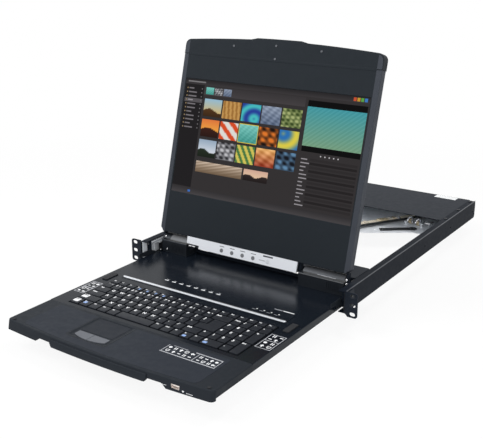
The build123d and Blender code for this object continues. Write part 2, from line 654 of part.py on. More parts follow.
def palm_outline(grow, z):
    """Rounded inset of the palm rest, following the bow of the front edge."""
    y_corner = CORNER_FRONT + PALM_MARGIN - grow
    left = (-PALM_HALF - grow, y_corner)
    right = (PALM_HALF + grow, y_corner)
    middle = (0, y_corner - FRONT_BOW)
    front = ThreePointArc(left, middle, right)
    rest = Polyline(right, (PALM_HALF + grow, PALM_BACK + grow), (-PALM_HALF - grow, PALM_BACK + grow), left)
    face = make_face(Curve() + [front, rest])
    corners = face.vertices()
    face = fillet(corners.sort_by(Axis.Y)[:2], 11.0)
    face = fillet(face.vertices().sort_by(Axis.Y)[-2:], 5.0)
    return Plane.XY.offset(z) * face


def frame_outline(grow, z):
    """Rounded outline of the touchpad's recess."""
    width = 2 * (FRAME_HALF_X + grow)
    depth = FRAME_BACK - FRAME_FRONT + 2 * grow
    centre_y = (FRAME_BACK + FRAME_FRONT) / 2
    return Plane.XY.offset(z) * Pos(PAD_CENTRE_X, centre_y) * RectangleRounded(width, depth, 5.0)


def front_moulding():
    """Moulded front of the tray: palm rest seat, bowed grip lip with two finger cut-outs, port opening."""
    outer = front_block(0, TRAY_HALF_WIDTH, PAN_FRONT, LIP_BOTTOM, DECK_TOP)
    top_edges = outer.faces().sort_by(Axis.Z)[-1].edges().filter_by(GeomType.LINE, reverse=True)
    outer = fillet(top_edges, 2.2)
    hollow = front_block(-LIP_WALL, PAN_INNER, PAN_FRONT + 1, LIP_BOTTOM - 1, DECK_TOP - SKIN)
    shell = outer - hollow
    # Behind the grip the side walls are no deeper than the rest of the tray
    shell -= box(-TRAY_HALF_WIDTH - 1, TRAY_HALF_WIDTH + 1, CORNER_FRONT + LIP_WALL, PAN_FRONT + 1,
                 LIP_BOTTOM - 1, TRAY_BOTTOM)
    for left, right in (LEFT_CUTOUT, RIGHT_CUTOUT):
        left_slope, right_slope = (HANDLE_SLOPE, CUTOUT_SLOPE) if left > 0 else (CUTOUT_SLOPE, HANDLE_SLOPE)
        cut = [(left - left_slope, LIP_BOTTOM - 1), (right + right_slope, LIP_BOTTOM - 1),
               (right, LIP_BOTTOM + CUTOUT_RISE), (left, LIP_BOTTOM + CUTOUT_RISE)]
        shell -= prism_y(cut, CORNER_FRONT - 30, CORNER_FRONT + 20)
    shell -= extrude(palm_outline(0.15, DECK_TOP - PALM_SHEET + PALM_STAND), amount=5)
    shell -= extrude(frame_outline(0.15, DECK_TOP - SKIN - 1), amount=8)
    shell -= box(USB_X - USB_WIDTH / 2 - 0.2, USB_X + USB_WIDTH / 2 + 0.2, CORNER_FRONT - 30,
                 CORNER_FRONT + 20, USB_Z - USB_HEIGHT / 2 - 0.2, USB_Z + USB_HEIGHT / 2 + 0.2)
    return shell


def pull_handle():
    """Bowed grip that stands out in front of the lip between the two cut-outs."""
    left = LEFT_CUTOUT[1] + 1.0
    right = RIGHT_CUTOUT[0] - 1.0
    top = DECK_TOP - 4.0
    grip = front_block(HANDLE_REACH, TRAY_HALF_WIDTH, CORNER_FRONT + 10, LIP_BOTTOM, top)
    ends = [(left, top), (right, top), (right, LIP_BOTTOM + CUTOUT_RISE), (right - HANDLE_SLOPE, LIP_BOTTOM),
            (left + HANDLE_SLOPE, LIP_BOTTOM), (left, LIP_BOTTOM + CUTOUT_RISE)]
    grip &= prism_y(ends, CORNER_FRONT - 40, CORNER_FRONT + 12)
    grip -= front_block(0.0, TRAY_HALF_WIDTH, CORNER_FRONT + 40, LIP_BOTTOM - 8, DECK_TOP)
    return fillet(grip.edges().filter_by(GeomType.CIRCLE), 1.3)


def palm_rest():
    """Lighter inset of the palm rest, with the touchpad's recess cut out of it."""
    plate = extrude(palm_outline(0, DECK_TOP - PALM_SHEET + PALM_STAND), amount=PALM_SHEET)
    top_edges = plate.faces().sort_by(Axis.Z)[-1].edges()
    plate = fillet(top_edges, 0.3)
    return plate - extrude(frame_outline(0.15, DECK_TOP - 5), amount=10)


def pad_button(side):
    """Half of the curved button bar: -1 is the left button, 1 the right one."""
    half = PAD_WIDTH / 2
    front = ThreePointArc((-half, BUTTON_SIDE_FRONT), (0, BUTTON_MIDDLE_FRONT), (half, BUTTON_SIDE_FRONT))
    rest = Polyline((half, BUTTON_SIDE_FRONT), (half, BUTTON_BACK), (-half, BUTTON_BACK),
                    (-half, BUTTON_SIDE_FRONT))
    bar = extrude(Plane.XY.offset(DECK_TOP - 3.4) * make_face(Curve() + [front, rest]), amount=3.1)
    split = 0.35
    keep = box(split, half + 1, BUTTON_MIDDLE_FRONT - 1, BUTTON_BACK + 1, -20, 0)
    if side < 0:
        keep = mirrored(keep)
    button = bar & keep
    top_edges = button.faces().sort_by(Axis.Z)[-1].edges()
    button = fillet(top_edges, 0.5)
    return Pos(PAD_CENTRE_X, 0, 0) * button


def touchpad_frame():
    """Dished surround of the touchpad: a sloped rim, with openings for the pad and its two buttons."""
    floor_top = DECK_TOP - 1.1
    frame = extrude(frame_outline(0, DECK_TOP - SKIN), amount=SKIN + PALM_STAND - 0.05)
    dish = loft([frame_outline(-5.5, floor_top).face(), frame_outline(-1.0, DECK_TOP + 1).face()])
    frame -= dish
    half = PAD_WIDTH / 2 + 0.3
    frame -= box(PAD_CENTRE_X - half, PAD_CENTRE_X + half, PAD_FRONT - 0.3, PAD_BACK + 0.3, -20, 0)
    front = ThreePointArc((-half, BUTTON_SIDE_FRONT - 0.3), (0, BUTTON_MIDDLE_FRONT - 0.3),
                          (half, BUTTON_SIDE_FRONT - 0.3))
    rest = Polyline((half, BUTTON_SIDE_FRONT - 0.3), (half, BUTTON_BACK + 0.3), (-half, BUTTON_BACK + 0.3),
                    (-half, BUTTON_SIDE_FRONT - 0.3))
    frame -= extrude(Plane.XY.offset(-20) * Pos(PAD_CENTRE_X, 0) * make_face(Curve() + [front, rest]),
                     amount=30)
    return frame


PAD_BOARD_TOP = DECK_TOP - 3.4 - BUTTON_TRAVEL - 0.1


def touchpad():
    """Touch surface on its board; the board also carries the two buttons' switches."""
    half = PAD_WIDTH / 2
    surface = box(PAD_CENTRE_X - half, PAD_CENTRE_X + half, PAD_FRONT, PAD_BACK, PAD_BOARD_TOP,
                  DECK_TOP - 0.9)
    surface = fillet(surface.edges().filter_by(Axis.Z), 1.0)
    board_front = BUTTON_MIDDLE_FRONT + 2.0
    board = box(PAD_CENTRE_X - half, PAD_CENTRE_X + half, board_front, PAD_BACK, PAD_BOARD_TOP - 1.6,
                PAD_BOARD_TOP)
    legs = []
    for x in (-half + 4, half - 4):
        for y in (board_front + 4, PAD_BACK - 4):
            legs.append(rod_z(2.0, TRAY_BOTTOM + 1.0, PAD_BOARD_TOP - 1.6, PAD_CENTRE_X + x, y))
    piece = surface + board
    for leg in legs:
        piece += leg
    return piece


def usb_port():
    """Socket in the front lip: a folded metal shell round a plastic tongue, open to the front."""
    depth = 15.0
    wall = 0.5
    shell = box(USB_X - USB_WIDTH / 2, USB_X + USB_WIDTH / 2, USB_FRONT, USB_FRONT + depth,
                USB_Z - USB_HEIGHT / 2, USB_Z + USB_HEIGHT / 2)
    shell -= box(USB_X - USB_WIDTH / 2 + wall, USB_X + USB_WIDTH / 2 - wall, USB_FRONT - 1,
                 USB_FRONT + depth - 1.5, USB_Z - USB_HEIGHT / 2 + wall, USB_Z + USB_HEIGHT / 2 - wall)
    tongue = box(USB_X - 5.6, USB_X + 5.6, USB_FRONT + 1.5, USB_FRONT + depth - 1.0,
                 USB_Z + 0.1, USB_Z + 1.9)
    return shell + tongue


def deck_pads():
    """Rubber pads on the deck where the folded display rests, and two corner studs."""
    pads = []
    pad_x = TRAY_HALF_WIDTH - 15.1
    stud_x = TRAY_HALF_WIDTH - 11.4
    for side in (-1, 1):
        pad = box(side * pad_x - 5.4, side * pad_x + 5.4, -137.0, -105.5, DECK_TOP, DECK_TOP + 1.7)
        pads.append(fillet(pad.edges().filter_by(Axis.Z), 1.5))
        pads.append(rod_z(2.6, DECK_TOP, DECK_TOP + 1.3, side * stud_x, CORNER_FRONT + 4.4))
    return group(pads)


STRIP_FRONT = -112.0
STRIP_BACK = -61.5
STRIP_STAND = 0.5


def indicator_strip():
    """Glossy plate behind the keys that carries the function bar and the lamps' windows."""
    strip = box(-KEYBOARD_HALF_WIDTH, KEYBOARD_HALF_WIDTH, STRIP_FRONT, STRIP_BACK, DECK_TOP,
                DECK_TOP + STRIP_STAND)
    strip = fillet(strip.edges().filter_by(Axis.Z), 3.0)
    for step in range(4):
        strip -= rod_z(1.6, DECK_TOP + STRIP_STAND - 0.2, DECK_TOP + 2, 104.5 + step * 14.0, -89.0)
    return strip


def function_bar():
    """Long silver bar with rounded ends between the keys and the indicator strip."""
    outline = SlotOverall(2 * KEYBOARD_HALF_WIDTH - 1.0, 8.0)
    bar = Plane.XY.offset(DECK_TOP + STRIP_STAND) * Pos(0, -105.2) * outline
    solid = extrude(bar, amount=0.9)
    return fillet(solid.faces().sort_by(Axis.Z)[-1].edges(), 0.5)


# Keyboard: each key is a tapered cap whose stem slides in its row's groove

KEY_BOTTOM = KEY_TOP - KEY_HEIGHT
PLATE_TOP = KEY_BOTTOM - KEY_TRAVEL - 0.2
STEM_BOTTOM = PLATE_TOP - 0.8
GROOVE_BOTTOM = STEM_BOTTOM - KEY_TRAVEL - 0.3
STEM_DEPTH = 4.0


def row_span(row):
    """Front and back of a key row; row 0 is the function row at the back."""
    back = KEYBOARD_BACK if row == 0 else KEYBOARD_BACK - FUNCTION_ROW_DEPTH - (row - 1) * ROW_DEPTH
    depth = FUNCTION_ROW_DEPTH if row == 0 else ROW_DEPTH
    return back - depth, back


def key(column, row, width=1.0, rows=1):
    """One key cap: column and width in key pitches from the left edge, rows counted forwards."""
    x0 = -KEYBOARD_HALF_WIDTH + column * KEY_PITCH + KEY_GAP / 2
    x1 = x0 + width * KEY_PITCH - KEY_GAP
    y0 = row_span(row + rows - 1)[0] + KEY_GAP / 2
    y1 = row_span(row)[1] - KEY_GAP / 2
    base = Plane.XY.offset(KEY_BOTTOM) * Pos((x0 + x1) / 2, (y0 + y1) / 2) * Rectangle(x1 - x0, y1 - y0)
    cap = extrude(base, amount=KEY_HEIGHT, taper=KEY_TAPER)
    groove_y = sum(row_span(row)) / 2
    stem = box((x0 + x1) / 2 - 3, (x0 + x1) / 2 + 3, groove_y - STEM_DEPTH / 2, groove_y + STEM_DEPTH / 2,
               STEM_BOTTOM, KEY_BOTTOM + 0.5)
    return cap + stem


def key_row(row, widths, column=0.0):
    """Keys side by side in one row; a negative width leaves a space."""
    keys = []
    for width in widths:
        if width > 0:
            keys.append(key(column, row, width))
        column += abs(width)
    return keys


def enter_key():
    """L-shaped key over two rows: a narrow upper part on a wide lower part."""
    right = KEY_COLUMNS
    x1 = -KEYBOARD_HALF_WIDTH + right * KEY_PITCH - KEY_GAP / 2
    upper_x0 = x1 + KEY_GAP - 1.5 * KEY_PITCH
    lower_x0 = x1 + KEY_GAP - 2.25 * KEY_PITCH
    upper_front, upper_back = row_span(2)
    lower_front = row_span(3)[0]
    edge = KEY_GAP / 2
    outline = [(lower_x0, lower_front + edge), (x1, lower_front + edge), (x1, upper_back - edge),
               (upper_x0, upper_back - edge), (upper_x0, upper_front - edge), (lower_x0, upper_front - edge)]
    face = make_face(Polyline(*outline, close=True))
    cap = extrude(Plane.XY.offset(KEY_BOTTOM) * face, amount=KEY_HEIGHT, taper=KEY_TAPER)
    stem_y = sum(row_span(3)) / 2
    stem_x = (upper_x0 + x1) / 2
    stem = box(stem_x - 3, stem_x + 3, stem_y - STEM_DEPTH / 2, stem_y + STEM_DEPTH / 2, STEM_BOTTOM,
               KEY_BOTTOM + 0.5)
    return cap + stem


SPACE_START = 5.65
SPACE_WIDTH = 4.0
CONTROL_RIGHT_START = SPACE_START + SPACE_WIDTH


def typing_keys():
    """Digits and letters with the tab, shift, lock and backspace keys."""
    keys = key_row(1, [1.0] * 13 + [2.0])
    keys += key_row(2, [1.5] + [1.0] * 12)
    keys += key_row(3, [1.75] + [1.0] * 11)
    keys += key_row(4, [2.25] + [1.0] * 10 + [1.75, 1.0])
    return group(keys)


def control_keys():
    """Front row on both sides of the space bar, with the arrow keys at its right."""
    left_width = SPACE_START / 5
    right_width = (KEY_COLUMNS - CONTROL_RIGHT_START) / 5
    return group(key_row(5, [left_width] * 5) + key_row(5, [right_width] * 5, CONTROL_RIGHT_START))


def number_pad_keys():
    """Number pad of four columns, with two tall keys in the last one and a wide zero."""
    keys = []
    for row in (1, 2, 3, 4):
        keys += key_row(row, [1.0] * 3, KEY_COLUMNS)
    keys.append(key(KEY_COLUMNS + 3, 1))
    keys.append(key(KEY_COLUMNS + 3, 2, 1.0, 2))
    keys.append(key(KEY_COLUMNS + 3, 4, 1.0, 2))
    keys.append(key(KEY_COLUMNS, 5, 2.0))
    keys.append(key(KEY_COLUMNS + 2, 5))
    return group(keys)


def function_keys():
    """Shallow back row across the whole width."""
    return group(key_row(0, [1.0] * (int(KEY_COLUMNS) + PAD_COLUMNS)))


def keyboard_plate():
    """Tray of the keyboard: a grooved plate under the keys with a rim up to the deck."""
    rim = 4.0
    plate = box(-WELL_HALF_WIDTH - rim, WELL_HALF_WIDTH + rim, WELL_FRONT - rim, WELL_BACK + rim,
                TRAY_BOTTOM + 1.0, DECK_TOP - DECK_SHEET)
    plate -= box(-WELL_HALF_WIDTH, WELL_HALF_WIDTH, WELL_FRONT, WELL_BACK, PLATE_TOP, 0)
    for row in range(6):
        centre = sum(row_span(row)) / 2
        half = STEM_DEPTH / 2 + 0.2
        plate -= box(-WELL_HALF_WIDTH + 2, WELL_HALF_WIDTH - 2, centre - half, centre + half, GROOVE_BOTTOM,
                     0)
    return plate


# Hinges: a block on each side of the deck holds the shaft of a bracket under the display


def hinge_block(left, right, ribs):
    """Moulded block with a through bore, a bevelled top with a shallow tray, and ribs on its front."""
    outline = [(BLOCK_FRONT, DECK_TOP), (BLOCK_FRONT, BLOCK_TOP - 1.5), (BLOCK_FRONT + 1.5, BLOCK_TOP),
               (58.0, BLOCK_TOP), (BLOCK_REAR, 13.0), (BLOCK_REAR, DECK_TOP)]
    block = prism_x(outline, left, right)
    block -= rod_x(SHAFT_RADIUS + RUNNING_GAP, left - 1, right + 1, AXIS_Y, AXIS_Z)
    block -= box(left + 3, right - 3, BLOCK_FRONT + 3.0, 56.0, BLOCK_TOP - 0.8, BLOCK_TOP + 1)
    for x in ribs:
        block -= box(x, x + 1.6, BLOCK_FRONT - 1, BLOCK_FRONT + 0.7, DECK_TOP + 4, BLOCK_TOP - 5)
    return block


def in_display(shape):
    """Lay a piece drawn upright about the hinge axis into the raised display's place."""
    return Pos(0, AXIS_Y, AXIS_Z) * Rot(-TILT, 0, 0) * shape


def hinge_arm(left, right, outer_is_right):
    """Bracket under the display: a foot along the block, an arm at each end and the shaft between them."""
    foot_bottom = DISPLAY_BOTTOM - 1.4
    gap = 0.5
    foot = box(left - gap - ARM_THICKNESS, right + gap + ARM_THICKNESS, -13.5, 0.4, foot_bottom,
               DISPLAY_BOTTOM)
    bracket = foot
    eye = 7.5
    for x0 in (left - gap - ARM_THICKNESS, right + gap):
        x1 = x0 + ARM_THICKNESS
        arm = prism_x([(-9.0, foot_bottom), (-eye, 0), (eye * 0.3, 0), (0.4, foot_bottom)], x0, x1)
        bracket += arm + rod_x(eye, x0, x1, 0, 0)
    bracket += rod_x(SHAFT_RADIUS, left - gap, right + gap, 0, 0)
    nut = 1.2
    if outer_is_right:
        bracket += rod_x(5.0, right + gap + ARM_THICKNESS, right + gap + ARM_THICKNESS + nut, 0, 0)
    else:
        bracket += rod_x(5.0, left - gap - ARM_THICKNESS - nut, left - gap - ARM_THICKNESS, 0, 0)
    return in_display(bracket)


# Display: a flat housing in a front frame, a rear cover, two side trims and a top cap

FRAME_HALF = DISPLAY_HALF_WIDTH - TRIM_WIDTH
FRAME_BACK_PLANE = DISPLAY_FRONT + 4.0
BOTTOM_CHAMFER = 7.0


def display_bezel():
    """Front frame round the screen, with a bevelled inner edge."""
    frame = box(-FRAME_HALF, FRAME_HALF, DISPLAY_FRONT, FRAME_BACK_PLANE, DISPLAY_BOTTOM, CAP_BOTTOM)
    opening = Plane.XZ.offset(-DISPLAY_FRONT) * Pos(0, (SCREEN_BOTTOM + SCREEN_TOP) / 2)
    width = 2 * SCREEN_HALF_WIDTH
    height = SCREEN_TOP - SCREEN_BOTTOM
    frame -= box(-width / 2, width / 2, DISPLAY_FRONT - 1, FRAME_BACK_PLANE + 1, SCREEN_BOTTOM, SCREEN_TOP)
    bevel = 0.8
    wide = opening * Rectangle(width + 2 * bevel, height + 2 * bevel)
    narrow = Plane.XZ.offset(-DISPLAY_FRONT - bevel) * Pos(0, (SCREEN_BOTTOM + SCREEN_TOP) / 2) \
        * Rectangle(width, height)
    frame -= loft([wide.face(), narrow.face()])
    return in_display(frame)


def display_glass():
    """The screen's pane, just behind the frame's face."""
    gap = 0.1
    return in_display(box(-SCREEN_HALF_WIDTH + gap, SCREEN_HALF_WIDTH - gap, DISPLAY_FRONT + 0.9,
                          FRAME_BACK_PLANE, SCREEN_BOTTOM + gap, SCREEN_TOP - gap))


def display_rear_cover():
    """Rear housing: a raised panel with bevelled sides and screw wells, and a box behind the strip."""
    step = 1.4
    cover = box(-FRAME_HALF, FRAME_HALF, FRAME_BACK_PLANE, DISPLAY_BACK - step, DISPLAY_BOTTOM, CAP_BOTTOM)
    centre_v = (DISPLAY_BOTTOM + CAP_BOTTOM) / 2
    raised_width = 2 * FRAME_HALF - 21.0
    raised_height = CAP_BOTTOM - DISPLAY_BOTTOM - 21.0
    slope = 6.0
    raised_low = Plane.XZ.offset(-DISPLAY_BACK + step) * Pos(0, centre_v) \
        * RectangleRounded(raised_width, raised_height, 8.0)
    raised_high = Plane.XZ.offset(-DISPLAY_BACK) * Pos(0, centre_v) \
        * RectangleRounded(raised_width - slope, raised_height - slope, 8.0)
    cover += loft([raised_low.face(), raised_high.face()])
    screw_x = FRAME_HALF - 24.0
    for x in (-screw_x, 0.0, screw_x):
        for v in (DISPLAY_BOTTOM + 24.0, CAP_BOTTOM - 23.0):
            cover -= rod_y(3.5, DISPLAY_BACK - 2.2, DISPLAY_BACK + 1, x, v)
    for column in range(-6, 7):
        outline = SlotOverall(26, 3, rotation=90)
        slot = Plane.XZ.offset(-DISPLAY_BACK - 1) * Pos(column * 12.0, 300.0) * outline
        cover -= extrude(slot, amount=2.6)
    lower_front = DISPLAY_FRONT + STRIP_THICKNESS
    lower = [(lower_front, DISPLAY_BOTTOM), (lower_front, 1.0), (-6.0, 1.0), (-2.0, 6.0),
             (-2.0, DISPLAY_BOTTOM)]
    cover += prism_x(lower, STRIP_LEFT, STRIP_RIGHT)
    pocket_depth = OSD_TRAVEL + 1.2
    for x in OSD_BUTTONS_X + (POWER_BUTTON_X,):
        cover -= rod_y(OSD_HOLE_RADIUS, lower_front - 1, lower_front + pocket_depth, x, OSD_BUTTON_V)
    return in_display(cover)


def display_side_trims():
    """Two lighter strips along the display's sides, their corners eased at top and bottom."""
    pieces = []
    for side in (-1, 1):
        inner = side * FRAME_HALF
        outer = side * DISPLAY_HALF_WIDTH
        outline = [(inner, DISPLAY_BOTTOM), (outer - side * BOTTOM_CHAMFER, DISPLAY_BOTTOM),
                   (outer, DISPLAY_BOTTOM + BOTTOM_CHAMFER), (outer, CAP_BOTTOM - 0.4),
                   (inner, CAP_BOTTOM - 0.4)]
        trim = prism_y(outline, DISPLAY_FRONT, DISPLAY_BACK - 1.0)
        long_edges = trim.edges().filter_by(Axis.Z).sort_by(Axis.X)
        outer_edges = long_edges[-2:] if side > 0 else long_edges[:2]
        pieces.append(fillet(outer_edges, 1.2))
    return in_display(group(pieces))


def display_top_cap():
    """Moulded cap along the top: a gentle arch with a low raised middle and rounded ends."""
    half = DISPLAY_HALF_WIDTH + 0.3
    radius = 11.0
    arch_top = CORNER_TOP + ARCH_RISE
    foot = BULGE_HALF_WIDTH + 14.0
    foot_v = CORNER_TOP + ARCH_RISE * (1 - (foot / half) ** 2)
    left_arc = ThreePointArc((-half, CORNER_TOP - 1.0), (-half * 0.62, CORNER_TOP + ARCH_RISE * 0.55),
                             (-foot, foot_v))
    rise = Polyline((-foot, foot_v), (-BULGE_HALF_WIDTH, arch_top + BULGE_RISE - 0.3))
    bulge = ThreePointArc((-BULGE_HALF_WIDTH, arch_top + BULGE_RISE - 0.3), (0, arch_top + BULGE_RISE),
                          (BULGE_HALF_WIDTH, arch_top + BULGE_RISE - 0.3))
    fall = Polyline((BULGE_HALF_WIDTH, arch_top + BULGE_RISE - 0.3), (foot, foot_v))
    right_arc = ThreePointArc((foot, foot_v), (half * 0.62, CORNER_TOP + ARCH_RISE * 0.55),
                              (half, CORNER_TOP - 1.0))
    rest = Polyline((half, CORNER_TOP - 1.0), (half, CAP_BOTTOM), (-half, CAP_BOTTOM),
                    (-half, CORNER_TOP - 1.0))
    face = make_face(Curve() + [left_arc, rise, bulge, fall, right_arc, rest])
    ends = face.vertices().filter_by(lambda v: v.Y > CORNER_TOP - 2 and abs(v.X) > half - 1)
    face = fillet(ends, radius)
    cap = extrude(Plane.XZ.offset(-DISPLAY_BACK) * face, amount=DISPLAY_BACK - DISPLAY_FRONT + 0.3)
    front_face = cap.faces().sort_by(Axis.Y)[0]
    cap = fillet(front_face.edges(), 0.9)
    return in_display(cap)


def osd_panel():
    """Brushed strip along the display's foot, notched at its left, with holes for five buttons."""
    bottom = -0.1
    top = DISPLAY_BOTTOM - 0.2
    notch = 6.0
    outline = [(STRIP_LEFT + 22.0, bottom), (STRIP_RIGHT, bottom), (STRIP_RIGHT, top), (STRIP_LEFT, top),
               (STRIP_LEFT, bottom + notch), (STRIP_LEFT + 22.0, bottom + notch)]
    strip = prism_y(outline, DISPLAY_FRONT, DISPLAY_FRONT + STRIP_THICKNESS)
    for x in OSD_BUTTONS_X + (POWER_BUTTON_X,):
        strip -= rod_y(OSD_HOLE_RADIUS, DISPLAY_FRONT - 1, DISPLAY_FRONT + STRIP_THICKNESS + 1, x,
                       OSD_BUTTON_V)
    return in_display(strip)


def osd_button(x):
    """Small domed push button of the strip."""
    length = STRIP_THICKNESS + 1.2
    front = DISPLAY_FRONT - 0.6
    button = rod_y(OSD_BUTTON_RADIUS, front, front + length, x, OSD_BUTTON_V)
    rim = button.faces().sort_by(Axis.Y)[0].edges()
    return in_display(fillet(rim, 0.5))


def display_bumpers():
    """Four small rubber studs on the top of the display's face."""
    studs = []
    for x, v in ((-93.7, 379.5), (-4.0, 385.0), (87.5, 381.5), (-3.0, 361.9)):
        studs.append(rod_y(2.0, DISPLAY_FRONT - 1.1, DISPLAY_FRONT - 0.3, x, v))
    return in_display(group(studs))


# Cable arm: two folded links that stretch behind the tray and fold flat as it closes

HALF_STRETCH = (ARM_REAR_Y - ARM_TRAY_Y) / 2
ARM_ANGLE = math.degrees(math.asin(HALF_STRETCH / LINK_LENGTH))
ELBOW_X = ARM_X - LINK_LENGTH * math.cos(math.radians(ARM_ANGLE))
ELBOW_Y = ARM_REAR_Y - HALF_STRETCH
ELBOW_STEP = LINK_HEIGHT + 0.4


def link(z, boss):
    """Folded channel along +X from the origin to the link's length, with an eye at each end."""
    reach = LINK_LENGTH
    half = LINK_WIDTH / 2
    web = extrude(Plane.XY.offset(z) * Pos(reach / 2, 0) * SlotCenterToCenter(reach, LINK_WIDTH),
                  amount=LINK_SHEET)
    for y0 in (-half, half - LINK_SHEET):
        web += box(14.0, reach - 14.0, y0, y0 + LINK_SHEET, z, z + LINK_WALL)
    for step in range(4):
        x = 40.0 + step * 60.0
        web -= extrude(Plane.XY.offset(z - 1) * Pos(x, 0) * SlotOverall(24, 5), amount=LINK_SHEET + 2)
    web -= rod_z(PIN_RADIUS + RUNNING_GAP, z - 1, z + LINK_SHEET + 1, 0, 0)
    if boss == "pin":
        web += rod_z(PIN_RADIUS, z, SHELF_TOP - DECK_SHEET - 0.8, reach, 0)
    else:
        web += rod_z(PIN_RADIUS, z, z + ELBOW_STEP + LINK_SHEET + 1.0, reach, 0)
    return web


def link_cables(z, start, end):
    """Flat bundle of three round leads clipped along a link."""
    leads = []
    half = LEAD_PITCH + LEAD_RADIUS + 0.2
    for offset in (-LEAD_PITCH, 0.0, LEAD_PITCH):
        leads.append(rod_x(LEAD_RADIUS, start, end, offset, z + LINK_SHEET + LEAD_RADIUS + 0.2))
    clips = []
    for step in range(4):
        x = start + 14.0 + step * (end - start - 28.0) / 3
        clip = box(x - 4, x + 4, -half, half, z + LINK_SHEET, z + LINK_SHEET + 5.2)
        clips.append(clip)
    bundle = clips[0]
    for clip in clips[1:]:
        bundle += clip
    for lead in leads:
        bundle += lead
    return bundle


def on_rear_link(shape):
    """Place a link that starts at the fixed pivot and runs forward to the elbow."""
    return Pos(ARM_X, ARM_REAR_Y, 0) * Rot(0, 0, 180.0 + ARM_ANGLE) * shape


def on_front_link(shape):
    """Place a link that starts at the elbow and runs forward to the tray's shelf."""
    return Pos(ELBOW_X, ELBOW_Y, 0) * Rot(0, 0, -ARM_ANGLE) * shape


# The list of sub-parts

for side_name, place in (("right", lambda shape: shape), ("left", mirrored)):
    parts["side_channel_" + side_name] = place(side_channel())
    parts["mounting_ear_" + side_name] = place(mounting_ear())
    parts["outer_slide_" + side_name] = place(outer_slide())
    parts["ball_retainer_" + side_name] = place(ball_retainer())
    parts["inner_slide_" + side_name] = place(inner_slide())
    parts["slide_latch_" + side_name] = place(slide_latch())
    parts["side_bracket_" + side_name] = place(side_bracket())

parts["rear_cover"] = rear_cover()
parts["rear_base_plate"] = rear_base_plate()
parts["rear_panel"] = rear_panel()
parts["interface_board"] = interface_board()
parts["chassis_screws"] = chassis_screws()

parts["tray_pan"] = tray_pan()
parts["tray_bottom_plate"] = tray_bottom_plate()
parts["rear_shelf"] = rear_shelf()
parts["front_moulding"] = front_moulding()
parts["pull_handle"] = pull_handle()
parts["palm_rest"] = palm_rest()
parts["touchpad_frame"] = touchpad_frame()
parts["touchpad"] = touchpad()
parts["touchpad_button_left"] = pad_button(-1)
parts["touchpad_button_right"] = pad_button(1)
parts["usb_port"] = usb_port()
parts["deck_pads"] = deck_pads()
parts["indicator_strip"] = indicator_strip()
parts["function_bar"] = function_bar()

parts["keyboard_plate"] = keyboard_plate()
parts["function_keys"] = function_keys()
parts["typing_keys"] = typing_keys()
parts["control_keys"] = control_keys()
parts["space_bar"] = key(SPACE_START, 5, SPACE_WIDTH)
parts["enter_key"] = enter_key()
parts["number_pad_keys"] = number_pad_keys()

parts["hinge_block_right"] = hinge_block(*RIGHT_BLOCK, ribs=[164.0 + 3.6 * n for n in range(7)])
parts["hinge_block_left"] = hinge_block(*LEFT_BLOCK, ribs=[-172.0 + 3.6 * n for n in range(9)])
parts["hinge_arm_right"] = hinge_arm(*RIGHT_BLOCK, outer_is_right=True)
parts["hinge_arm_left"] = hinge_arm(*LEFT_BLOCK, outer_is_right=False)

parts["display_bezel"] = display_bezel()
parts["display_glass"] = display_glass()
parts["display_rear_cover"] = display_rear_cover()
parts["display_side_trims"] = display_side_trims()
parts["display_top_cap"] = display_top_cap()
parts["display_bumpers"] = display_bumpers()
parts["osd_panel"] = osd_panel()
for name, x in zip(("osd_menu_button", "osd_down_button", "osd_up_button", "osd_exit_button"), OSD_BUTTONS_X):
    parts[name] = osd_button(x)
parts["power_button"] = osd_button(POWER_BUTTON_X)

parts["cable_arm_rear_link"] = on_rear_link(link(LINK_BOTTOM, "elbow"))
parts["cable_arm_front_link"] = on_front_link(link(LINK_BOTTOM + ELBOW_STEP, "pin"))
parts["rear_arm_cables"] = on_rear_link(link_cables(LINK_BOTTOM, 18.0, LINK_LENGTH - 22.0))
parts["front_arm_cables"] = on_front_link(link_cables(LINK_BOTTOM + ELBOW_STEP, 18.0, LINK_LENGTH - 22.0))

os.makedirs("parts", exist_ok=True)
for name, shape in parts.items():
    export_step(shape, "parts/" + name + ".step")
print(len(parts), "sub-parts written")
print("arm angle", round(ARM_ANGLE, 3), "elbow", round(ELBOW_X, 3), round(ELBOW_Y, 3))
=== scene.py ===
# %% [markdown]
# # A rack console drawer, dressed
#
# The drawer is a one-unit rack tray: a keyboard, a touchpad and a display that stands up behind them.
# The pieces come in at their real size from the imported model, and each one stays where it is.
# This lesson gives them their finishes, and adds what is too fine for the model: key caps with soft edges,
# printed legends, the picture on the screen, a label, thin rolled covers, clips and small screws.
# %% Load the frame
import json
import math

